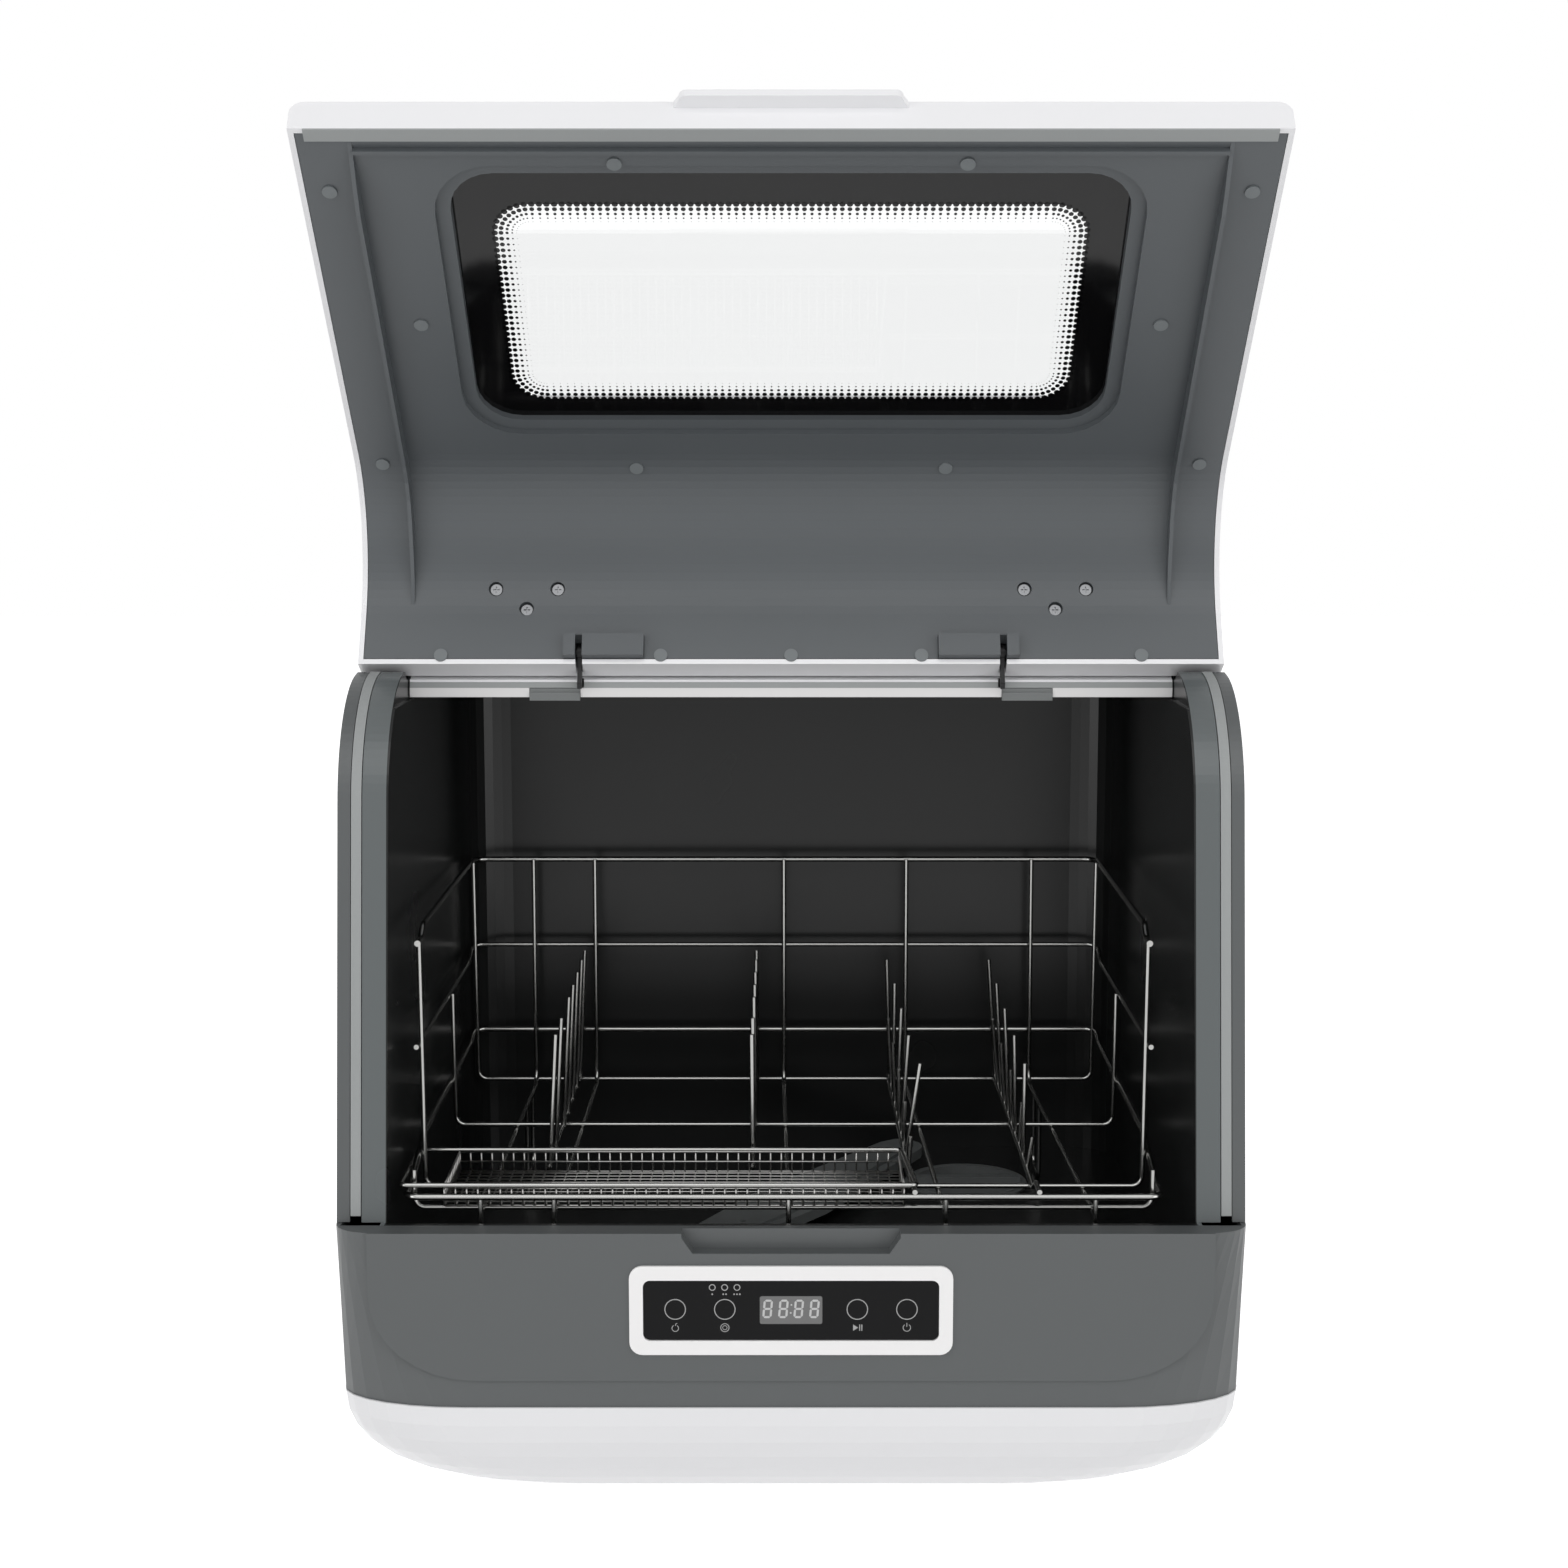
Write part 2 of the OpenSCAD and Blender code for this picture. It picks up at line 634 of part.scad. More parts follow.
module lid_liner() {
    cut = lid_skin + 0.3;
    color("dimgray") front_frame() lid_open() difference() {
        union() {
            side_prism(-liner_half, liner_half) edge_band(liner_low, lid_in, liner_out, cut);
            both_sides() side_prism(rib_x, rib_x + rib_t) rib_outline();
            at_lid(11, 0, lid_in - 2.5) translate([-rib_x, -1, 0]) cube([2 * rib_x, 2, 3]);
            at_glass() translate([0, 0, lid_in]) linear_extrude(5) difference() {
                glass_shape(frame_grow + 2);
                glass_shape(frame_grow);
            }
            at_glass() translate([0, 0, lid_in + 3]) linear_extrude(2) difference() {
                glass_shape(frame_grow + 1);
                glass_shape(0);
            }
            at_glass() translate([0, 0, lid_in + 3]) linear_extrude(5.6) difference() {
                glass_shape(2);
                glass_shape(0);
            }
            both_sides() for (p = screw_at) at_lid(p[1], p[0], liner_out - 0.5)
                cylinder(h = 4.5, r = 5);
        }
        at_glass() translate([0, 0, lid_in - 2]) linear_extrude(5) glass_shape(frame_grow);
        both_sides() for (p = screw_at) at_lid(p[1], p[0], lid_in - 1) {
            cylinder(h = 4.5, r = 3.6);
            cylinder(h = 12, r = 1.7);
        }
        both_sides() for (p = plug_at) at_lid(p[1], p[0], lid_in - 1) cylinder(h = 5, r = 2);
        at_lid(300, 0, lid_in - 1) cylinder(h = 5, r = 2);
        both_sides() side_prism(box_x[0] - 0.15, box_x[1] + 0.15) box_outline(0.15);
        arm_sweep();
    }
}

// Hinge boxes: bearing blocks on the lid that turn about the fixed pins
box_x = [71.5, 110.5];
box_s = [288, 301.5];
module box_outline(grow) {
    intersection() {
        polygon(let (t = [cos(top_slope), sin(top_slope)], c = edge_end - (lid_run - box_s[0]) * t)
            [c + (-4 - grow) * n_top + 2 * t, c + 12.2 * n_top - grow * t,
             c + 12.2 * n_top + (box_s[1] - box_s[0] + grow) * t,
             c + (-4 - grow) * n_top + (box_s[1] - box_s[0] + grow) * t,
             c + (-4 - grow) * n_top + 2 * t]);
        union() {
            translate([hinge_y, hinge_z]) circle(r = 12.8 + grow);
            translate([hinge_y - 30, hinge_z - 30]) square([30, 60]);
        }
    }
}
module hinge_box() {
    difference() {
        side_prism(box_x[0], box_x[1]) box_outline(0);
        side_prism(box_x[0] + 2.5, hinge_x - 7.5) translate([0, 1.5])
            box_core();
        hinge_barrel(pin_r + 0.05, hinge_x - 6.5, hinge_x + 6.5);
        arm_sweep();
    }
}
module box_core() {
    t = [cos(top_slope), sin(top_slope)];
    c = edge_end - (lid_run - box_s[0]) * t;
    polygon([c - 2 * n_top + 3 * t, c + 12 * n_top + 3 * t,
        c + 12 * n_top + 9 * t, c - 2 * n_top + 9 * t]);
}
module hinge_box_right() {
    color("dimgray") front_frame() lid_open() hinge_box();
}
module hinge_box_left() {
    color("dimgray") front_frame() lid_open() mirror([1, 0, 0]) hinge_box();
}

module window_glass() {
    color("black", 0.4) front_frame() lid_open() at_glass() translate([0, 0, lid_in + 8.7])
        linear_extrude(3) glass_shape(1.8);
}
module lid_end_gasket() {
    color("silver") front_frame() lid_open() side_prism(-203.5, 203.5) polygon([
        edge_at_z(lid_foot_z, -0.4), edge_at_z(lid_foot_z, lid_in),
        edge_at_z(lid_foot_z + 6, lid_in), edge_at_z(lid_foot_z + 6, -0.4)]);
}
module plug() {
    translate([0, 0, -0.8]) cylinder(h = 0.8, r = 3.25);
    translate([0, 0, -0.4]) cylinder(h = 4, r = 1.6);
}
module liner_plugs() {
    color("gray") front_frame() lid_open() {
        both_sides() for (p = plug_at) at_lid(p[1], p[0], lid_in) plug();
        at_lid(300, 0, lid_in) plug();
    }
}
module hinge_screws() {
    color("silver") front_frame() lid_open() both_sides()
        for (p = screw_at) at_lid(p[1], p[0], lid_in + 1.8) difference() {
            union() {
                cylinder(h = 1.7, r = 2.8);
                translate([0, 0, 1]) cylinder(h = 7, r = 1.6);
            }
            for (a = [0, 90]) rotate(a) translate([-1.6, -0.3, -1]) cube([3.2, 0.6, 1.8]);
        }
}

// Controls: frame, dark touch panel, display window and the board behind
panel_size = [135, 28.2];
display_size = [28.6, 13.2];
key_x = [-53, -30.2, 30.4, 53];
module control_frame() {
    color("white") front_frame() translate([0, 0, control_z]) difference() {
        union() {
            front_plate(-1.4, 0) rounded_square(control_size, 6);
            front_plate(-0.5, 8) rounded_square(control_hole - [0.6, 0.6], 3.7);
        }
        front_plate(-2, 2) rounded_square(panel_size + [0.4, 0.4], 3.2);
        front_plate(1, 9) rounded_square(panel_size - [4, 4], 2);
    }
}
module control_panel() {
    color("black") front_frame() translate([0, 0, control_z]) difference() {
        front_plate(-0.4, 2) rounded_square(panel_size, 3);
        front_plate(-1, 3) rounded_square(display_size + [0.2, 0.2], 1);
    }
}
module display_window() {
    color("darkslategray") front_frame() translate([0, 0, control_z])
        front_plate(-0.3, 3.4) rounded_square(display_size, 0.9);
}
module control_board() {
    color("darkgreen") front_frame() translate([0, 0, control_z]) {
        front_plate(10, 11.6) square([138, 32], center = true);
        both_sides() for (z = [-14, 14])
            translate([67, 8, z]) rotate([-90, 0, 0]) cylinder(h = 2.2, r = 2);
        for (x = key_x) translate([x, 2, 0]) rotate([-90, 0, 0]) cylinder(h = 8.2, r = 3);
        front_plate(3.6, 10.2) square([26, 11], center = true);
    }
}

// Rack: bent wires welded where they cross, standing a little left of the middle
wire_r = wire_d / 2;
rail_r = rail_d / 2;
weld = 0.25;
lap = wire_d - weld;
rack_x = -3.5;
leg_low = 172.2;
leg_high = 173.2;
cross_y = [30.5, 64, 173, 268];
rail_front_z = rack_top_z - 5.8;
cross_top = [159, rail_front_z - rail_r + weld, 211, rack_top_z - rail_r + weld];
front_rail_y = 25;
front_rail_z = 147.6;
front_half = 176;
long_x = [-143, -109, -4, 64, 133.5];
long_front_x = [-144.4, -110.3, -1.2, 72, 141.6];
floor_long_z = rack_floor_z - lap;
function leg_x(z) = leg_low + (leg_high - leg_low) * (z - rack_floor_z) / (rack_top_z - rack_floor_z);
module at_rack() {
    front_frame() translate([rack_x, 0, 0]) children();
}
module cross_wire(k) {
    top = cross_top[k];
    color("silver") at_rack()
        wire([[-leg_x(top), cross_y[k], top], [-leg_low, cross_y[k], rack_floor_z],
            [leg_low, cross_y[k], rack_floor_z], [leg_x(top), cross_y[k], top]], wire_r, 5);
}
module rack_cross_wire_1() {
    cross_wire(0);
}
module rack_cross_wire_2() {
    cross_wire(1);
}
module rack_cross_wire_3() {
    cross_wire(2);
}
module rack_cross_wire_4() {
    cross_wire(3);
}
// The top rail's ends dip onto the front legs
module rack_top_rail() {
    x = leg_high;
    y = [cross_y[1] - 4, cross_y[1] + 6, cross_y[1] + 15, cross_y[3]];
    color("silver") at_rack() wire([
        [-x, y[0], rail_front_z], [-x, y[1], rail_front_z], [-x, y[2], rack_top_z],
        [-x, y[3], rack_top_z], [x, y[3], rack_top_z], [x, y[2], rack_top_z],
        [x, y[1], rail_front_z], [x, y[0], rail_front_z]], rail_r, 8);
}
// Rails outside the legs, a little higher behind than at the sides
rail_back_y = cross_y[3] + lap;
module rack_middle_rail() {
    x = leg_x(211) + lap;
    color("silver") at_rack() wire([
        [-x, cross_y[1] - 3, 210], [-x, 252, 210.4], [-x, rail_back_y, 217.5],
        [x, rail_back_y, 217.5], [x, 252, 210.4], [x, cross_y[1] - 3, 210]], wire_r, 6);
}
// The lower rail drops at the front and runs round as the front rail
module lower_half(side) {
    x = side * (leg_x(165) + lap);
    wire([[0, rail_back_y, 169], [x, rail_back_y, 169], [x, 252, 165], [x, 79, 164],
        [side * front_half, 42, front_rail_z], [side * front_half, front_rail_y, front_rail_z],
        [0, front_rail_y, front_rail_z]], rail_r, 6);
}
module rack_lower_rail() {
    color("silver") at_rack() {
        lower_half(1);
        lower_half(-1);
    }
}
module rack_long_wires() {
    y_back = cross_y[3] - lap;
    color("silver") front_frame() for (i = [0 : len(long_x) - 1])
        wire([[long_x[i], y_back, rack_top_z], [long_x[i], y_back, floor_long_z],
            [long_front_x[i], front_rail_y + 1, floor_long_z]], wire_r, 8);
}
module rack_front_stubs() {
    color("silver") front_frame() for (x = long_front_x)
        rod([x, front_rail_y, front_rail_z - rail_r + weld],
            [x, front_rail_y, abs(x) > 140 ? tub_floor + 0.1 : 116], wire_r);
}
module rack_feet() {
    z0 = tub_floor + wire_r + 0.1;
    z1 = floor_long_z - wire_r + weld;
    color("silver") front_frame() for (i = [0, 4]) {
        x = long_x[i] + (long_front_x[i] - long_x[i]) * 0.15;
        wire([[x, 216, z1], [x, 217, z0], [x, 245, z0], [x, 246, z1]], wire_r, 6);
    }
}
// Tines stand on a base wire that is welded across the cross wires.
// Each tine is [depth, x of its tip, height of its tip]; base is the wire's x in front and behind.
base_z = rack_floor_z + lap;
tine_seat = 0.8;
module tine_row(base, tips, over_front) {
    back = cross_y[3] + 1.5;
    function base_x(y) = base[0] + (base[1] - base[0]) * (y - front_rail_y) / (back - front_rail_y);
    if (over_front)
        wire([[base_x(back), back, base_z], [base_x(54), 54, base_z],
            [base_x(40), 40, front_rail_z + wire_r + rail_r - weld],
            [base[0], front_rail_y - 1, front_rail_z + wire_r + rail_r - weld]], wire_r, 5);
    else
        rod([base_x(back), back, base_z], [base_x(rim_y[1] + 1.7), rim_y[1] + 1.7, base_z], wire_r);
    for (t = tips)
        rod([base_x(t[0]) + tine_seat, t[0], base_z - 0.3], [t[1], t[0], t[2]], wire_r - 0.05);
}
tines_y = [89.2, 120, 163, 188, 215, 242, 263.5];
function row_tips(x) = [for (i = [0 : 6]) [tines_y[i], x, tine_top_z - 3.5 + i]];
function paired_tips(tall_x, short_x) = concat(
    [for (i = [0 : 4]) [109 + 39 * i, tall_x[i], tine_top_z - 23 + 5 * i]],
    [for (i = [0 : 4]) [89.5 + 39 * i, short_x[i], [158, 165, 172, 176.5, 180.5][i]]]);
module tine_row_left() {
    color("silver") front_frame() tine_row([-119, -119], row_tips(-114.8), false);
}
module tine_row_centre() {
    color("silver") front_frame() tine_row([-19.5, -19.5], row_tips(-19.2), false);
}
module tine_row_right() {
    color("silver") front_frame() tine_row([57.6, 54.5],
        paired_tips([64.1, 60.2, 58.1, 56.2, 53.4], [58.7, 57.6, 56, 54.6, 53.6]), true);
}
module tine_row_far_right() {
    color("silver") front_frame() tine_row([115.5, 114],
        paired_tips([116, 114.2, 112.6, 111.4, 110.2], [118.4, 116.7, 114.4, 112.6, 111.2]), true);
}

// Cutlery basket: a rim of rod with a mesh tray let into it
rim_x = [-181.8, 58.5, 54];
rim_y = [25.5, 84];
rim_z = 153.1;
tray_x = [-162, 53.2];
tray_t = 0.9;
tray_low = rack_floor_z + wire_r + 0.15;
module basket_rim() {
    m = (rim_x[0] + rim_x[1]) / 2;
    color("silver") front_frame() {
        wire([[m, rim_y[0], rim_z], [rim_x[0], rim_y[0], rim_z], [rim_x[0], rim_y[1], rim_z],
            [m, rim_y[1], rim_z]], wire_r, 3);
        wire([[m, rim_y[0], rim_z], [rim_x[1], rim_y[0], rim_z], [rim_x[2], rim_y[1], rim_z],
            [m, rim_y[1], rim_z]], wire_r, 3);
    }
}
module mesh_sheet(w, h) {
    nx = floor((w - 2) / mesh_pitch);
    ny = floor((h - 1.4) / mesh_pitch);
    gap = mesh_pitch - 1.1;
    linear_extrude(tray_t) difference() {
        square([w, h]);
        for (i = [0 : nx - 1], j = [0 : ny - 1])
            translate([(w - nx * mesh_pitch) / 2 + i * mesh_pitch + 0.55,
                (h - ny * mesh_pitch) / 2 + j * mesh_pitch + 0.55]) square(gap);
    }
}
module basket_mesh() {
    w = tray_x[1] - tray_x[0];
    y0 = rim_y[0] + wire_r - 0.2;
    d = rim_y[1] - wire_r + 0.2 - y0;
    h = rim_z - tray_low;
    color("silver") front_frame() translate([tray_x[0], y0, tray_low]) {
        mesh_sheet(w, d);
        translate([0, tray_t, 0]) rotate([90, 0, 0]) mesh_sheet(w, h);
        translate([0, d, 0]) rotate([90, 0, 0]) mesh_sheet(w, h);
        rotate([90, 0, 90]) mesh_sheet(d, h);
        translate([w - tray_t, 0, 0]) rotate([90, 0, 90]) mesh_sheet(d, h);
    }
}

// Spray arm: two thin shells on a hub that turns on the post
arm_low = 103.5;
arm_mid = 106.5;
arm_high = 110.5;
hub_r = 17;
module arm_plan(grow) {
    polygon(concat(
        ellipse_arc([arm_len / 2 - 15, 0], 15 + grow, 13 + grow, -80, 80, 6),
        [[0, 21 + grow]],
        ellipse_arc([15 - arm_len / 2, 0], 15 + grow, 13 + grow, 100, 260, 6),
        [[0, -21 - grow]]));
}
module at_arm() {
    translate([arm_c[0], arm_c[1], 0]) children();
}
module spray_arm_top() {
    color("gray") front_frame() at_arm() difference() {
        union() {
            rotate(arm_turn) {
                translate([0, 0, arm_mid]) linear_extrude(2.2) arm_plan(0);
                translate([0, 0, arm_mid + 2]) linear_extrude(2) arm_plan(-5);
            }
            translate([0, 0, arm_mid]) cylinder(h = 7.5, r = hub_r);
        }
        rotate(arm_turn) translate([0, 0, arm_mid - 1]) linear_extrude(2.6) arm_plan(-6);
        rotate(arm_turn) for (x = [-104, -78, -50, 44, 70, 96])
            translate([x, x > 0 ? 3 : -3, arm_mid]) cylinder(h = 6, r = 1.6);
        translate([0, 0, arm_mid - 1]) cylinder(h = 12, r = post_r + 0.05);
    }
}
module spray_arm_bottom() {
    color("gray") front_frame() at_arm() difference() {
        union() {
            rotate(arm_turn) translate([0, 0, arm_low]) linear_extrude(arm_mid - arm_low)
                arm_plan(0);
            translate([0, 0, arm_low - 3]) cylinder(h = 4, r = post_r + 3.5);
        }
        rotate(arm_turn) translate([0, 0, arm_low + 1.2]) linear_extrude(4) arm_plan(-4);
        translate([0, 0, arm_low - 4]) cylinder(h = 12, r = post_r + 0.05);
    }
}
module spray_hub_cap() {
    color("dimgray") front_frame() at_arm() difference() {
        union() {
            translate([0, 0, arm_mid + 7.5]) cylinder(h = 1.6, r = 13);
            translate([0, 0, arm_mid + 8]) cylinder(h = 3, r1 = 12, r2 = 8);
        }
        translate([0, 0, arm_mid + 7]) cylinder(h = 3, r = post_r + 0.05);
    }
}
module spray_post() {
    color("dimgray") front_frame() at_arm() difference() {
        union() {
            translate([0, 0, 72]) cylinder(h = 43.6, r = post_r);
            translate([0, 0, tub_floor - wall - 2]) cylinder(h = 2, r = 18);
        }
        translate([0, 0, 71]) cylinder(h = 42, r = post_r - 2);
    }
}

// Sump under the tub with the filter well and the arm's feed
sump_low = 58;
module sump() {
    top = tub_floor - wall;
    color("gray") front_frame() difference() {
        union() {
            translate([filter_c[0], filter_c[1], sump_low])
                cylinder(h = top - sump_low, r = filter_r + 5);
            translate([arm_c[0], arm_c[1], 66]) cylinder(h = top - 2 - 66, r = 18);
            translate([arm_c[0], arm_c[1], 0]) rotate(35)
                translate([0, -12, 68]) cube([90, 24, 20]);
        }
        translate([filter_c[0], filter_c[1], sump_low + 3]) cylinder(h = 50, r = filter_r + 1.5);
        translate([arm_c[0], arm_c[1], 71]) cylinder(h = 40, r = post_r + 0.1);
    }
}
module filter_cup() {
    color("lightgray") front_frame() translate([filter_c[0], filter_c[1], 0]) difference() {
        union() {
            translate([0, 0, 66]) cylinder(h = 32, r = filter_r - 3);
            translate([0, 0, 96]) cylinder(h = 1.6, r = filter_r);
        }
        translate([0, 0, 68]) cylinder(h = 40, r = filter_r - 5);
        for (a = [0 : 30 : 330]) rotate(a)
            translate([filter_r - 9, -4, 72]) cube([8, 8, 18]);
    }
    color("gray") front_frame() translate([filter_c[0], filter_c[1], 0]) {
        translate([3.5 - filter_r, -2.5, 90]) cube([2 * filter_r - 7, 5, 10.5]);
    }
}

// Working parts in the base, held on its floor
floor_z = foot_h + wall;
module lying_cylinder(at, r, len, axis) {
    translate(at) rotate(axis == "x" ? [0, 90, 0] : [-90, 0, 0]) cylinder(h = len, r = r);
}
module stand(x, y, w, d, z) {
    translate([x - w / 2, y - d / 2, floor_z]) cube([w, d, z - floor_z]);
}
module wash_pump() {
    color("gray") front_frame() {
        lying_cylinder([-95, 215, 38], 27, 74, "x");
        lying_cylinder([-22, 215, 38], 31, 20, "x");
        lying_cylinder([-3, 215, 38], 10, 18, "x");
        stand(-60, 215, 50, 24, 16);
        stand(-12, 215, 12, 24, 12);
    }
}
module drain_pump() {
    color("dimgray") front_frame() {
        lying_cylinder([92, 262, 32], 17, 34, "x");
        lying_cylinder([74, 262, 32], 20, 19, "x");
        lying_cylinder([83.5, 262, 32], 8, 22, "y");
        stand(100, 262, 30, 18, 20);
    }
}
module heater() {
    color("silver") front_frame() {
        lying_cylinder([-100, 132, 30], 16, 96, "x");
        lying_cylinder([-5, 132, 30], 9, 16, "x");
        stand(-75, 132, 14, 24, 20);
        stand(-25, 132, 14, 24, 20);
    }
}
module inlet_valve() {
    color("white") front_frame() {
        translate([inlet_at[0] - 17, 300, inlet_at[1] - 19]) cube([34, 42, 38]);
        lying_cylinder([inlet_at[0], 341, inlet_at[1]], 11, 3.3, "y");
    }
}
// A hose tail: flange inside the panel, shoulder through it, and the end that the hose fits
module hose_tail(at, r, reach) {
    flange_d = body_d - wall - 3.1;
    lying_cylinder([at[0], flange_d, at[1]], r + 4, 3, "y");
    lying_cylinder([at[0], flange_d, at[1]], r + shoulder, body_d + shoulder_out - flange_d, "y");
    lying_cylinder([at[0], flange_d, at[1]], r, body_d + reach - flange_d, "y");
}
module inlet_spigot() {
    color("gray") front_frame() difference() {
        hose_tail(inlet_at, inlet_r, spigot_out);
        lying_cylinder([inlet_at[0], body_d, inlet_at[1]], 8, 30, "y");
    }
}
module drain_spout() {
    color("gray") front_frame() difference() {
        hose_tail(drain_at, drain_r, spigot_out - 1);
        lying_cylinder([drain_at[0], body_d - 8, drain_at[1]], 6.5, 40, "y");
    }
}
module drain_hose() {
    color("dimgray") front_frame()
        wire([[83.5, 284.05, 32], [83.5, 305, 32], [-100, 305, 32], [drain_at[0], 305, drain_at[1]],
            [drain_at[0], body_d - wall - 3.1, drain_at[1]]], 8, 16);
}
module cord_gland() {
    color("black") front_frame() difference() {
        union() {
            lying_cylinder([gland_at[0], body_d - wall - 8, gland_at[1]], gland_r, 16, "y");
            lying_cylinder([gland_at[0], body_d, gland_at[1]], gland_r + 3, 5.5, "y");
            lying_cylinder([gland_at[0], body_d - wall - 4, gland_at[1]], gland_r + 2.5, 4, "y");
        }
        lying_cylinder([gland_at[0], body_d - 20, gland_at[1]], 4, 40, "y");
    }
}
module power_board() {
    color("darkgreen") front_frame() {
        translate([40, 70, floor_z + 6]) cube([80, 60, 1.6]);
        for (x = [45, 115], y = [75, 125]) translate([x, y, floor_z])
            cylinder(h = 6.2, r = 3);
        translate([48, 82, floor_z + 7.5]) cube([26, 22, 20]);
        translate([84, 78, floor_z + 7.5]) cube([12, 40, 12]);
        translate([104, 96, floor_z + 7.5]) cylinder(h = 22, r = 8);
    }
}

// The drawing
base_bowl();
rubber_feet();
front_panel();
side_panel_left();
side_panel_right();
rear_panel();
top_cover();
inner_tub();
tub_gasket_left();
tub_gasket_right();
top_seal();
mouth_strip();
strip_clips();
hinge_arm_left();
hinge_arm_right();
lid_shell();
lid_liner();
window_glass();
lid_end_gasket();
liner_plugs();
hinge_box_left();
hinge_box_right();
hinge_screws();
control_frame();
control_panel();
display_window();
control_board();
rack_top_rail();
rack_middle_rail();
rack_lower_rail();
rack_cross_wire_1();
rack_cross_wire_2();
rack_cross_wire_3();
rack_cross_wire_4();
rack_long_wires();
rack_front_stubs();
rack_feet();
tine_row_left();
tine_row_centre();
tine_row_right();
tine_row_far_right();
basket_rim();
basket_mesh();
spray_arm_top();
spray_arm_bottom();
spray_hub_cap();
spray_post();
sump();
filter_cup();
wash_pump();
drain_pump();
heater();
inlet_valve();
inlet_spigot();
drain_spout();
drain_hose();
cord_gland();
power_board();
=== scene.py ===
"""Looks, stage and camera of the countertop dishwasher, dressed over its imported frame."""

import math

import bmesh
import bpy
from bpy.props import FloatProperty, PointerProperty, StringProperty
from mathutils import Matrix, Vector


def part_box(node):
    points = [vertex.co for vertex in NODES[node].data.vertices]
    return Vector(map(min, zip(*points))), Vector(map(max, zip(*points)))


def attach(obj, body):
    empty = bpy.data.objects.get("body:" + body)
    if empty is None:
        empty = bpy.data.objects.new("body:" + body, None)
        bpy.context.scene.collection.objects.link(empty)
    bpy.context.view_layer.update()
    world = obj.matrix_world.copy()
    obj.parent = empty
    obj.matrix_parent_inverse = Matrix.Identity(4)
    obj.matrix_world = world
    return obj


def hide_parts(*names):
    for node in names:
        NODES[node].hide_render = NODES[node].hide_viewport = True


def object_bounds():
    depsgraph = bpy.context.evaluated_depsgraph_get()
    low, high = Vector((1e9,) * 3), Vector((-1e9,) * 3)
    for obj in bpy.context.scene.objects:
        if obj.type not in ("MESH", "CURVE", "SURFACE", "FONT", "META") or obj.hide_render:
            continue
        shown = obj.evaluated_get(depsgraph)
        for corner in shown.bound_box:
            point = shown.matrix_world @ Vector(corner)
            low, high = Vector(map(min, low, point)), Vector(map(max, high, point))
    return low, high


bl_info = {
    "name": "Countertop dishwasher",
    "version": (1, 0, 0),
    "blender": (4, 5, 0),
    "location": "View3D > Sidebar > Dishwasher",
    "description": "Finishes, printed panel, window border, stage and camera of a dishwasher",
    "category": "Object",
}

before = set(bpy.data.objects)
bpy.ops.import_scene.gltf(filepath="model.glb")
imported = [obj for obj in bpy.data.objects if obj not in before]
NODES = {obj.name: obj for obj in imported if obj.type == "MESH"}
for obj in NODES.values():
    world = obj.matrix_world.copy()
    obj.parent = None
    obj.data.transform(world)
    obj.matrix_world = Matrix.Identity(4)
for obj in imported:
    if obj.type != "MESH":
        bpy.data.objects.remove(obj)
CAD_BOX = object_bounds()
MM = 0.001

# Places and sizes of what is drawn on the object, in millimetres

# inside this half width the tub is painted near black as painted shade; outside it the rim keeps
# the plastic's grey
MOUTH_HALF = 187.4  # half the width of the tub's mouth, where the grey of its rim begins

PANE_MARGIN = 0.4  # bare edge of the glass round the enamel
BORDER_GAP = 0.06  # enamel over the glass
CLEAR_RISE = -5.4  # middle of the clear part from the glass's middle, towards the lid's free end
BORDER_STEP = 2.0  # between points on the border's inner edge
DOT_ROWS = (  # distance inside the border, dot radius, sides of a dot
    (0.0, 1.42, 12),
    (2.75, 1.12, 12),
    (5.4, 0.74, 10),
    (7.7, 0.42, 8),
    (9.7, 0.17, 6),
)

PRINT_GAP = 0.04  # print over its panel
KEYS = (-53.0, -30.3, 30.3, 53.0)  # touch keys, from the panel's middle
KEY_RISE = 0.4
SIGN_RISE = -8.3
THIN = 0.34  # line of the signs
LAMPS = (-36.0, -30.35, -24.7)  # indicator lamps
LAMP_RISE, LAMP_RADIUS, LAMP_LINE = 10.8, 1.35, 0.42
COUNT_RISE, COUNT_RADIUS, COUNT_PITCH = 7.6, 0.4, 1.3  # the dots that number the lamps

DIGITS = (-10.7, -3.5, 3.5, 10.7)  # middles of the display's digits
DIGIT_RISE = 0.6
DIGIT_WIDTH, BAR_WIDTH, BAR_GAP = 4.3, 1.0, 0.12
COLON_HALF, COLON_RADIUS = 1.9, 0.42
BARS = (  # the seven bars of a digit, end to end, in a box one wide and one tall
    (0, 1, 1, 1),
    (0, 0.5, 1, 0.5),
    (0, 0, 1, 0),
    (0, 0, 0, 0.5),
    (0, 0.5, 0, 1),
    (1, 0, 1, 0.5),
    (1, 0.5, 1, 1),
)

# Lamps, floor and camera, in metres; lamps are placed from a plane near the front panel

LAMP_PLANE = CAD_BOX[0].y + 0.0326
KEY_LAMP = {"at": (0, LAMP_PLANE - 1.5, 1.9), "aim": (0, 0, 0.25), "wide": 2.4, "tall": 1.2}
SIDE_LAMP = {"at": (1.7, LAMP_PLANE - 1.2, 0.6), "aim": (0, 0, 0.2), "wide": 1.0, "tall": 1.2}
FLOOR_HALF = 6
FLOOR_DROP = 0.0005  # floor under the feet
FLOOR_GLOW = 0.82  # lifts the floor to white for the eye
SENSOR = 36  # millimetres


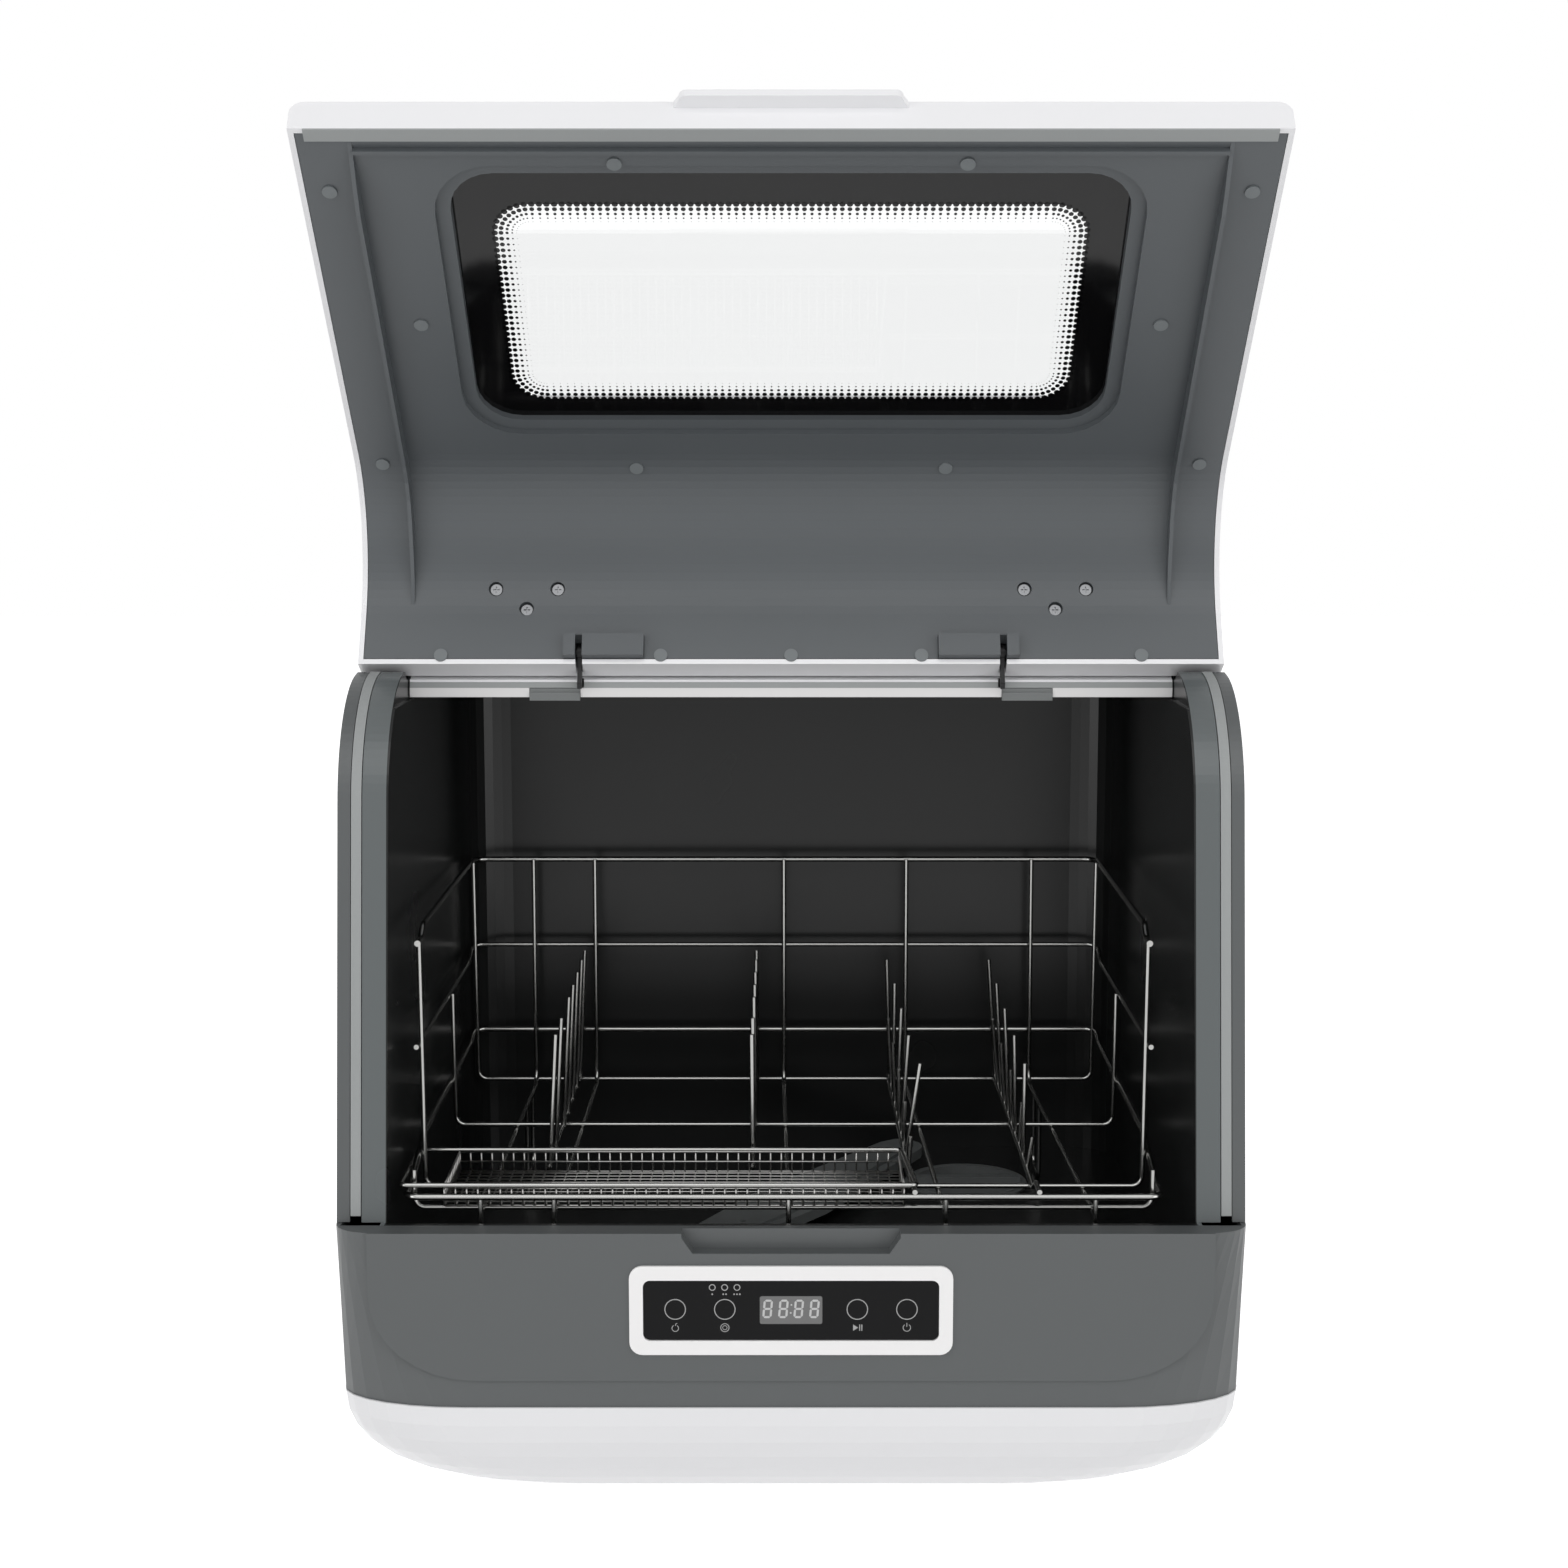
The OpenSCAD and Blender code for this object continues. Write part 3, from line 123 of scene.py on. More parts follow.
def linear(hex_colour, alpha=1.0):
    """Turns an sRGB hex colour into linear RGBA."""
    text = hex_colour.lstrip("#")
    values = [int(text[i : i + 2], 16) / 255 for i in (0, 2, 4)]
    flat = [v / 12.92 if v <= 0.04045 else ((v + 0.055) / 1.055) ** 2.4 for v in values]
    return flat + [alpha]


# Settings


class DishwasherFinishes(bpy.types.PropertyGroup):
    """Colours of the finishes, as sRGB hex values."""

    white: StringProperty(
        name="White shell", description="Moulded shell, lid and base", default="#ECECEE")
    panel: StringProperty(
        name="Grey panels", description="Front and side panels", default="#515455")
    liner: StringProperty(
        name="Lid liner", description="Moulded inside of the lid", default="#505457")
    # painted shade: the tub's colour is near black to stand in for the shade in the deep tub; its
    # plastic is the rim's grey
    tub: StringProperty(name="Tub", description="Moulded wash tub", default="#1B1C1C")
    cheek: StringProperty(
        name="Tub rim", description="Rim of the tub round the mouth", default="#636869")
    bezel: StringProperty(
        name="Panel frame", description="White frame of the key panel", default="#F4F3F3")
    strip: StringProperty(
        name="Mouth strip", description="Strip along the top of the mouth", default="#DEDDDD")
    seal: StringProperty(name="Seals", description="Extruded rubber seals", default="#979A9A")
    glass_tint: StringProperty(
        name="Window tint", description="Body colour of the window", default="#FAFBFB")
    frit: StringProperty(
        name="Window border", description="Fired enamel border", default="#0B0B0C")
    key_panel: StringProperty(
        name="Key panel", description="Gloss panel behind the keys", default="#141415")
    ink: StringProperty(
        name="Panel ink", description="Screen print on the key panel", default="#A9A9A9")


class DishwasherSizes(bpy.types.PropertyGroup):
    """Sizes of what is drawn on the frame."""

    dot_pitch: FloatProperty(
        name="Dot pitch", description="Spacing of the dots round the clear window",
        default=3.3 * MM, min=2 * MM, max=8 * MM, unit="LENGTH", precision=5)
    clear_width: FloatProperty(
        name="Clear width", description="Width of the clear part of the window",
        default=260 * MM, unit="LENGTH")
    clear_height: FloatProperty(
        name="Clear height", description="Height of the clear part of the window",
        default=115.8 * MM, unit="LENGTH")
    clear_corner: FloatProperty(
        name="Clear corner", description="Corner radius of the clear part",
        default=16 * MM, unit="LENGTH")
    ring_radius: FloatProperty(
        name="Key ring", description="Radius of a touch key's ring",
        default=4.7 * MM, unit="LENGTH", precision=5)
    ring_line: FloatProperty(
        name="Ring line", description="Line width of a touch key's ring",
        default=0.42 * MM, unit="LENGTH", precision=5)
    mesh_pitch: FloatProperty(
        name="Mesh pitch", description="Spacing of the basket's mesh wires",
        default=5.2 * MM, min=3 * MM, max=12 * MM, unit="LENGTH", precision=5)
    mesh_wire: FloatProperty(
        name="Mesh wire", description="Diameter of the basket's mesh wires",
        default=0.95 * MM, unit="LENGTH", precision=5)
    digit_height: FloatProperty(
        name="Digit height", description="Height of a display digit",
        default=8.8 * MM, unit="LENGTH", precision=5)
    digit_slant: FloatProperty(
        name="Digit slant", description="Lean of the display digits",
        default=math.radians(5), subtype="ANGLE")


class DishwasherStage(bpy.types.PropertyGroup):
    """Camera, lamps and floor."""

    distance: FloatProperty(
        name="Distance", description="Camera to the front panel", default=1.0879, unit="LENGTH")
    height: FloatProperty(
        name="Height", description="Camera above the floor", default=0.493, unit="LENGTH")
    pitch: FloatProperty(
        name="Pitch", description="Camera looking down", default=math.radians(7.757),
        subtype="ANGLE")
    lens: FloatProperty(
        name="Lens", description="Focal length in millimetres", default=56.747)
    shift: FloatProperty(
        name="Shift", description="Sideways shift of the picture", default=-0.0045, precision=5)
    key_power: FloatProperty(
        name="Key lamp", description="Power of the lamp above the front", default=15,
        unit="POWER")
    fill_power: FloatProperty(
        name="Fill lamps", description="Power of each side lamp", default=8, unit="POWER")
    sky: FloatProperty(
        name="Sky", description="Strength of the even light all round", default=0.5)
    floor: FloatProperty(
        name="Floor", description="How white the floor is", default=0.88, max=1.0)


# Making materials and meshes


def add(tree, kind, values=None, links=None, **settings):
    """Adds a node with its settings, its input values and its links from other nodes."""
    made = tree.nodes.new(kind)
    for key, value in settings.items():
        setattr(made, key, value)
    for key, value in (values or {}).items():
        made.inputs[key].default_value = value
    for key, (source, output) in (links or {}).items():
        tree.links.new(source.outputs[output], made.inputs[key])
    return made


def empty_tree(owner):
    """The node tree of a new material or world, with nothing in it."""
    owner.use_nodes = True
    owner.node_tree.nodes.clear()
    return owner.node_tree


def surface(
        name, colour, roughness, ior=1.5, metallic=0.0, grain=0.0, depth=0.0, drift=0.0,
        worn=0.0, **more):
    """A solid finish: a colour that drifts slightly over the part, and a grain in the surface.

    grain is the size of one grain in millimetres and depth its height; drift is how far the
    colour moves from place to place, and worn how far the roughness does.
    """
    made = bpy.data.materials.new(name)
    tree = empty_tree(made)
    out = add(tree, "ShaderNodeOutputMaterial")
    shader = add(tree, "ShaderNodeBsdfPrincipled", {
        "Base Color": linear(colour), "Roughness": roughness, "IOR": ior,
        "Metallic": metallic, **more})
    tree.links.new(shader.outputs["BSDF"], out.inputs["Surface"])
    place = add(tree, "ShaderNodeTexCoord")
    if drift or worn:
        broad = add(tree, "ShaderNodeTexNoise",
            {"Scale": 1 / (90 * MM), "Detail": 3, "Roughness": 0.55},
            {"Vector": (place, "Object")})
        if drift:
            shade = linear(colour)
            low = [c * (1 - drift) for c in shade[:3]] + [1]
            high = [min(1, c * (1 + drift)) for c in shade[:3]] + [1]
            mix = add(tree, "ShaderNodeMix", {6: low, 7: high}, {0: (broad, "Fac")},
                data_type="RGBA")
            tree.links.new(mix.outputs[2], shader.inputs["Base Color"])
        if worn:
            spread = add(tree, "ShaderNodeMapRange", {
                "From Min": 0.0, "From Max": 1.0,
                "To Min": roughness - worn, "To Max": roughness + worn},
                {"Value": (broad, "Fac")})
            tree.links.new(spread.outputs["Result"], shader.inputs["Roughness"])
    if grain:
        fine = add(tree, "ShaderNodeTexNoise",
            {"Scale": 1 / (grain * MM), "Detail": 2, "Roughness": 0.6},
            {"Vector": (place, "Object")})
        bump = add(tree, "ShaderNodeBump", {"Strength": 1.0, "Distance": depth * MM},
            {"Height": (fine, "Fac")})
        tree.links.new(bump.outputs["Normal"], shader.inputs["Normal"])
    return made


def seen(tree):
    """An output that is 1 for the eye, straight, mirrored or through glass, and 0 for the rest."""
    path = add(tree, "ShaderNodeLightPath")
    found = (path, "Is Camera Ray")
    for ray in ("Is Glossy Ray", "Is Transmission Ray"):
        either = add(tree, "ShaderNodeMath", None, {0: found, 1: (path, ray)},
            operation="MAXIMUM")
        found = (either, 0)
    return found


def dress(material, *names):
    """Gives CAD nodes their finish."""
    for name in names:
        slots = NODES[name].material_slots
        if not slots:
            NODES[name].data.materials.append(material)
        for slot in slots:
            slot.material = material


def solid(name, points, faces, material, body):
    """Makes a piece from points and faces, dresses it and lets it ride on its body."""
    mesh = bpy.data.meshes.new(name)
    mesh.from_pydata([tuple(p) for p in points], [], faces)
    mesh.validate()
    mesh.materials.append(material)
    piece = bpy.data.objects.new(name, mesh)
    bpy.context.scene.collection.objects.link(piece)
    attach(piece, body)
    return piece


# Drawing on a plane: every shape is a list of points and a list of faces in millimetres


def disc(x, y, r, n=12):
    """A filled circle."""
    return arc(x, y, r, 0, 360, n)[:-1], [tuple(range(n))]


def stroke(points, width, closed=False):
    """A line of even width through points, with mitred corners."""
    n = len(points)
    left, right = [], []
    for i, p in enumerate(points):
        before = points[i - 1] if closed or i else points[0]
        after = points[(i + 1) % n] if closed or i < n - 1 else points[-1]
        a = Vector(p) - Vector(before)
        b = Vector(after) - Vector(p)
        a = a.normalized() if a.length else b.normalized()
        b = b.normalized() if b.length else a
        along = (a + b).normalized() if (a + b).length else a
        side = Vector((-along.y, along.x)) * (width / 2 / max(0.5, along.dot(a)))
        left.append(tuple(Vector(p) + side))
        right.append(tuple(Vector(p) - side))
    count = n if closed else n - 1
    faces = [(i, (i + 1) % n, n + (i + 1) % n, n + i) for i in range(count)]
    return left + right, faces


def arc(x, y, r, a0, a1, n=24):
    """Points on an arc, angles in degrees counterclockwise from the right."""
    turn = [math.radians(a0 + (a1 - a0) * i / n) for i in range(n + 1)]
    return [(x + r * math.cos(t), y + r * math.sin(t)) for t in turn]


def ring(x, y, r, width, n=56):
    """A ring of even line width."""
    return stroke(arc(x, y, r, 0, 360, n)[:-1], width, closed=True)


def joined(shapes):
    """Several shapes as one list of points and one of faces."""
    points, faces = [], []
    for p, f in shapes:
        faces += [tuple(i + len(points) for i in face) for face in f]
        points += p
    return points, faces


def rounded_path(width, height, r, step):
    """Points round a rounded rectangle at an even step, each with its inward direction."""
    x, y = width / 2 - r, height / 2 - r
    quarter = math.pi * r / 2
    pieces = []
    for cx, cy, a0, run, along in (
            (x, y, 0, 2 * x, (-1, 0)), (-x, y, 90, 2 * y, (0, -1)),
            (-x, -y, 180, 2 * x, (1, 0)), (x, -y, 270, 2 * y, (0, 1))):
        pieces.append((quarter, cx, cy, a0, None))
        pieces.append((run, cx, cy, a0, along))
    total = sum(p[0] for p in pieces)
    count = 2 * round(total / step / 2)
    found = []
    for i in range(count):
        s = (i + 0.5) * total / count
        for length, cx, cy, a0, along in pieces:
            if s <= length:
                break
            s -= length
        turned = 90 * s / length if along is None else 90
        t = math.radians(a0 + turned)
        out = (math.cos(t), math.sin(t))
        at = (cx + r * out[0], cy + r * out[1])
        if along:
            at = (at[0] + along[0] * s, at[1] + along[1] * s)
        found.append((at, (-out[0], -out[1])))
    return found


def on_plane(shape, place):
    """Lifts a drawn shape from millimetres on a plane into the frame."""
    points, faces = shape
    return [place @ Vector((p[0] * MM, p[1] * MM, 0)) for p in points], faces


def pane_place(node, proud):
    """The inner face of the window: X across, Y to the lid's free end, Z towards the tub."""
    mesh = NODES[node].data
    normal = Vector()
    for face in mesh.polygons:
        # the broad faces that look forward, without the ones round the edge
        if abs(face.normal.x) < 0.01 and face.normal.y < -0.05 and face.area > 1e-4:
            normal += face.normal * face.area
    normal.normalize()
    across = Vector((1, 0, 0))
    up = normal.cross(across).normalized()
    points = [v.co for v in mesh.vertices]
    spans = [[p.dot(axis) for p in points] for axis in (across, up, normal)]
    middle = [(min(s) + max(s)) / 2 for s in spans[:2]] + [max(spans[2])]
    centre = across * middle[0] + up * middle[1] + normal * (middle[2] + proud)
    turn = Matrix((across, up, normal)).transposed().to_4x4()
    return Matrix.Translation(centre) @ turn


def panel_place(node, proud):
    """The front face of a part of the panel: X to the right, Y up, Z towards the viewer."""
    low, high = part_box(node)
    turn = Matrix(((1, 0, 0), (0, 0, -1), (0, 1, 0))).to_4x4()
    centre = ((low.x + high.x) / 2, low.y - proud, (low.z + high.z) / 2)
    return Matrix.Translation(centre) @ turn


def rods(runs, r, sides=6):
    """Straight round wires between pairs of points, in metres."""
    points, faces = [], []
    askew = Vector((0.3, 0.5, 0.8))  # no wire runs this way
    for a, b in runs:
        along = (b - a).normalized()
        out = along.cross(askew).normalized()
        side = along.cross(out)
        start = len(points)
        for end in (a, b):
            for i in range(sides):
                t = 2 * math.pi * i / sides
                points.append(end + (out * math.cos(t) + side * math.sin(t)) * r)
        for i in range(sides):
            j = (i + 1) % sides
            faces.append((start + i, start + j, start + sides + j, start + sides + i))
        faces.append(tuple(start + i for i in reversed(range(sides))))
        faces.append(tuple(start + sides + i for i in range(sides)))
    return points, faces


def spaced(low, high, pitch):
    """Even places from low to high, about a pitch apart."""
    count = max(1, round((high - low) / pitch))
    return [low + (high - low) * i / count for i in range(count + 1)]


# Finishes


def glossy_moulded_abs(colour):
    """ABS from a polished mould: an even soft gloss with a faint orange peel."""
    return surface("GlossyMouldedABS", colour, 0.3, ior=1.53, grain=5, depth=0.02,
        drift=0.012, worn=0.03, **{"Coat Weight": 0.12, "Coat Roughness": 0.12})


def spark_grained_abs(colour):
    """ABS from a spark-eroded mould: a fine even grain that spreads the highlight.

    The real grain is about 0.1 mm; it is drawn at 0.8 mm so that it shows.
    """
    return surface("SparkGrainedABS", colour, 0.42, ior=1.53, grain=0.8, depth=0.012,
        drift=0.02, worn=0.04)


def satin_moulded_liner(colour):
    """Polypropylene lid liner: satin, with the slight waves of a thin moulding over its ribs."""
    return surface("SatinMouldedPP", colour, 0.4, ior=1.49, grain=1.1, depth=0.018,
        drift=0.03, worn=0.05)


def glossy_moulded_tub(colour, rim):
    """Polypropylene tub from a smooth mould, glossy enough to mirror the rack, with painted shade:
    inside the mouth it is coloured near black for the shade in the deep tub.

    The rim outside the mouth keeps the plastic's grey, so the colour changes at the mouth's edge.
    """
    made = surface("TubPaintedShadePP", colour, 0.26, ior=1.49, grain=9, depth=0.01, worn=0.04,
        **{"Specular IOR Level": 0.3})
    tree = made.node_tree
    shader = next(n for n in tree.nodes if n.type == "BSDF_PRINCIPLED")
    place = next(n for n in tree.nodes if n.type == "TEX_COORD")
    # painted shade: near black inside the mouth, where the tub lies in shade, and the rim's grey
    # outside it
    parts = add(tree, "ShaderNodeSeparateXYZ", None, {0: (place, "Object")})
    aside = add(tree, "ShaderNodeMath", None, {0: (parts, "X")}, operation="ABSOLUTE")
    out = add(tree, "ShaderNodeMath", {1: MOUTH_HALF * MM}, {0: (aside, 0)},
        operation="GREATER_THAN")
    mix = add(tree, "ShaderNodeMix", {6: linear(colour), 7: linear(rim)}, {0: (out, 0)},
        data_type="RGBA")
    tree.links.new(mix.outputs[2], shader.inputs["Base Color"])
    return made


def extruded_epdm(colour):
    """Extruded rubber: dull, with fine lines left by the die."""
    return surface("ExtrudedEPDM", colour, 0.62, ior=1.5, grain=1.0, depth=0.03, drift=0.03)


def moulded_silicone():
    """Silicone feet: dull black-grey with a slight sheen."""
    return surface("MouldedSilicone", "#2B2B2C", 0.6, ior=1.42, grain=1.5, depth=0.03,
        drift=0.05)


def satin_acetal():
    """Acetal clips: waxy and smooth."""
    return surface("SatinAcetal", "#6E7171", 0.38, ior=1.48, grain=2, depth=0.01, drift=0.02)


def zinc_plated_steel():
    """Zinc-plated pressed steel: bright with a faint cloudiness."""
    return surface("ZincPlatedSteel", "#7B7C7E", 0.34, metallic=1.0, grain=1.2, depth=0.01,
        drift=0.08, worn=0.08)


def blackened_steel():
    """Black-oxide steel plate of the hinge arms: dark, with an oily satin."""
    return surface("BlackOxideSteel", "#232324", 0.42, metallic=0.6, grain=1.2, depth=0.006,
        drift=0.08, worn=0.06)


def drawn_stainless_wire():
    """Electropolished stainless wire: smooth, so it shows sharp lights along each wire."""
    return surface("DrawnStainlessWire", "#9F9F9D", 0.2, metallic=1.0, grain=3, depth=0.002,
        drift=0.05, worn=0.04)


def woven_stainless_mesh():
    """Thin welded mesh wire: the same steel, duller because it is pickled and not polished."""
    return surface("PickledStainlessMesh", "#A5A4A2", 0.3, metallic=1.0, grain=1.0, depth=0.01,
        drift=0.1, worn=0.06)


def satin_stainless_tube():
    """Satin stainless tube of the heater, slightly straw-coloured by heat."""
    return surface("SatinStainlessTube", "#B5AFA4", 0.34, metallic=1.0, grain=0.9, depth=0.01,
        drift=0.12, worn=0.08)


def toughened_glass(tint):
    """Clear float glass, flat and polished."""
    return surface("ToughenedGlass", tint, 0.0, ior=1.5, **{"Transmission Weight": 1.0})


def fired_enamel(colour):
    """Black ceramic enamel fired on the inner face of the glass: dense and glossy."""
    return surface("FiredEnamel", colour, 0.06, ior=1.52, grain=4, depth=0.002,
        **{"Specular IOR Level": 0.3})


def printed_acrylic(colour):
    """Back-printed acrylic: deep black with a hard gloss."""
    return surface("BackPrintedAcrylic", colour, 0.16, ior=1.49, grain=9, depth=0.004,
        drift=0.02, **{"Specular IOR Level": 0.1})


def smoked_acrylic():
    """Smoked display window: grey where the unlit digit mask shows through."""
    return surface("SmokedAcrylic", "#6A6A6A", 0.22, ior=1.49, grain=1.2, depth=0.004,
        drift=0.03)


def screen_ink(colour):
    """Pale grey screen-printing ink, matt and even."""
    return surface("ScreenInk", colour, 0.6, ior=1.45, grain=0.5, depth=0.004, drift=0.03)


def digit_mask():
    """The pale digit bars of an unlit display seen through the window."""
    return surface("DigitMask", "#C2C2C2", 0.4, ior=1.49, grain=0.6, depth=0.003, drift=0.02)


def solder_resist():
    """Green solder resist over the circuit board's glass weave."""
    return surface("SolderResist", "#1E5B34", 0.35, ior=1.55, grain=1.6, depth=0.02,
        drift=0.1, worn=0.05)


def moulded_nylon(colour):
    """Glass-filled nylon of pumps and valves: dull, with fine streaks of fibre."""
    return surface("GlassFilledNylon", colour, 0.5, ior=1.53, grain=1.2, depth=0.03,
        drift=0.06, worn=0.06)


def ribbed_pvc():
    """Flexible PVC hose."""
    return surface("FlexiblePVC", "#7C7F80", 0.45, ior=1.54, grain=2.5, depth=0.05, drift=0.05)


# Nodes that share a finish

WHITE = ("base_bowl", "lid_shell", "top_cover")
GREY = ("front_panel", "side_panel_left", "side_panel_right", "rear_panel")
SEALS = ("tub_gasket_left", "tub_gasket_right", "top_seal", "lid_end_gasket")
LINER = ("lid_liner", "hinge_box_left", "hinge_box_right")
HINGE_ARMS = ("hinge_arm_left", "hinge_arm_right")
RACK = (
    "rack_top_rail", "rack_middle_rail", "rack_lower_rail", "rack_cross_wire_1",
    "rack_cross_wire_2", "rack_cross_wire_3", "rack_cross_wire_4", "rack_long_wires",
    "rack_front_stubs", "rack_feet", "tine_row_left", "tine_row_centre", "tine_row_right",
    "tine_row_far_right", "basket_rim",
)
SPRAY = ("spray_arm_top", "spray_arm_bottom", "spray_hub_cap", "spray_post", "filter_cup")
PUMPS = (
    "sump", "wash_pump", "drain_pump", "inlet_valve", "cord_gland", "inlet_spigot",
    "drain_spout",
)


class DISHWASHER_OT_dress_shell(bpy.types.Operator):
    """Finishes the white shells and the grey panels"""

    bl_idname = "dishwasher.dress_shell"
    bl_label = "Dress shell"

    def execute(self, context):
        finishes = context.scene.dishwasher_finishes
        dress(glossy_moulded_abs(finishes.white), *WHITE)
        dress(glossy_moulded_abs(finishes.bezel), "control_frame")
        dress(glossy_moulded_abs(finishes.strip), "mouth_strip")
        dress(spark_grained_abs(finishes.panel), *GREY)
        dress(moulded_silicone(), "rubber_feet")
        return {"FINISHED"}


class DISHWASHER_OT_dress_tub(bpy.types.Operator):
    """Finishes the tub, its seals and clips"""

    bl_idname = "dishwasher.dress_tub"
    bl_label = "Dress tub"

    def execute(self, context):
        finishes = context.scene.dishwasher_finishes
        # the tub gets painted shade inside its mouth and the rim's grey round it
        dress(glossy_moulded_tub(finishes.tub, finishes.cheek), "inner_tub")
        dress(extruded_epdm(finishes.seal), *SEALS)
        dress(satin_acetal(), "strip_clips")
        return {"FINISHED"}


class DISHWASHER_OT_dress_lid(bpy.types.Operator):
    """Finishes the lid liner, hinges and window"""

    bl_idname = "dishwasher.dress_lid"
    bl_label = "Dress lid"

    def execute(self, context):
        finishes = context.scene.dishwasher_finishes
        dress(satin_moulded_liner(finishes.liner), *LINER)
        dress(satin_moulded_liner("#6B7072"), "liner_plugs")
        dress(zinc_plated_steel(), "hinge_screws")
        dress(blackened_steel(), *HINGE_ARMS)
        dress(toughened_glass(finishes.glass_tint), "window_glass")
        return {"FINISHED"}


class DISHWASHER_OT_dress_rack(bpy.types.Operator):
    """Finishes the rack, its tines and the basket's rim"""

    bl_idname = "dishwasher.dress_rack"
    bl_label = "Dress rack"

    def execute(self, context):
        dress(drawn_stainless_wire(), *RACK)
        return {"FINISHED"}


class DISHWASHER_OT_basket_mesh(bpy.types.Operator):
    """Welds the basket's tray from fine wires bent up its walls, with level wires round them"""

    bl_idname = "dishwasher.basket_mesh"
    bl_label = "Basket mesh"

    def execute(self, context):
        sizes = context.scene.dishwasher_sizes
        r = sizes.mesh_wire / 2
        low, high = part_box("basket_mesh")
        low, high = low + Vector((r, r, r)), high - Vector((r, r, r))
        lap = r * 0.9  # crossing wires are offset by less than a wire, as they are when welded
        base = low.z + lap
        front, back = low.y + lap, high.y - lap
        runs = []
        for x in spaced(low.x, high.x, sizes.mesh_pitch):
            corners = [
                Vector((x, low.y, high.z)), Vector((x, low.y, low.z)),
                Vector((x, high.y, low.z)), Vector((x, high.y, high.z))]
            runs += list(zip(corners, corners[1:]))
        for y in spaced(low.y, high.y, sizes.mesh_pitch)[1:-1]:
            corners = [
                Vector((low.x, y, high.z)), Vector((low.x, y, base)),
                Vector((high.x, y, base)), Vector((high.x, y, high.z))]
            runs += list(zip(corners, corners[1:]))
        for z in spaced(low.z, high.z, sizes.mesh_pitch):
            corners = [
                Vector((low.x, front, z)), Vector((high.x, front, z)),
                Vector((high.x, back, z)), Vector((low.x, back, z))]
            runs += list(zip(corners, corners[1:] + corners[:1]))
        points, faces = rods(runs, r)
        tray = solid("basket_wires", points, faces, woven_stainless_mesh(), "basket")
        for face in tray.data.polygons:
            face.use_smooth = len(face.vertices) == 4
        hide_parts("basket_mesh")
        return {"FINISHED"}


class DISHWASHER_OT_dress_works(bpy.types.Operator):
    """Finishes the spray arm, sump, pumps, heater, boards and hose"""

    bl_idname = "dishwasher.dress_works"
    bl_label = "Dress works"

    def execute(self, context):
        dress(moulded_nylon("#6B6E6E"), *SPRAY)
        dress(moulded_nylon("#333436"), *PUMPS)
        dress(ribbed_pvc(), "drain_hose")
        dress(satin_stainless_tube(), "heater")
        dress(solder_resist(), "control_board", "power_board")
        return {"FINISHED"}


class DISHWASHER_OT_window_border(bpy.types.Operator):
    """Makes the window's enamel border, with rows of dots that fade towards the clear part"""

    bl_idname = "dishwasher.window_border"
    bl_label = "Window border"

    def execute(self, context):
        sizes = context.scene.dishwasher_sizes
        place = pane_place("window_glass", BORDER_GAP * MM)
        low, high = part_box("window_glass")
        pane_half = (high.x - low.x) / 2 / MM - PANE_MARGIN
        up = place.to_3x3().col[1]
        reach = [v.co.dot(up) for v in NODES["window_glass"].data.vertices]
        pane_tall = (max(reach) - min(reach)) / 2 / MM - PANE_MARGIN
        width, height = sizes.clear_width / MM, sizes.clear_height / MM
        corner = sizes.clear_corner / MM
        inner = [
            (p[0], p[1] + CLEAR_RISE) for p, _ in rounded_path(width, height, corner, BORDER_STEP)]
        outer = []
        for x, y in inner:
            across, tall = x / (width / 2), (y - CLEAR_RISE) / (height / 2)
            outer.append((
                max(-1, min(1, across)) * pane_half, max(-1, min(1, tall)) * pane_tall))
        n = len(inner)
        band = (inner + outer, [(i, (i + 1) % n, n + (i + 1) % n, n + i) for i in range(n)])
        enamel = fired_enamel(context.scene.dishwasher_finishes.frit)
        points, faces = on_plane(band, place)
        solid("window_border", points, faces, enamel, "lid")
        dots = []
        for (x, y), (ix, iy) in rounded_path(width, height, corner, sizes.dot_pitch / MM):
            for inset, r, sides in DOT_ROWS:
                dots.append(disc(x + ix * inset, y + CLEAR_RISE + iy * inset, r, sides))
        points, faces = on_plane(joined(dots), place)
        solid("window_dots", points, faces, enamel, "lid")
        return {"FINISHED"}


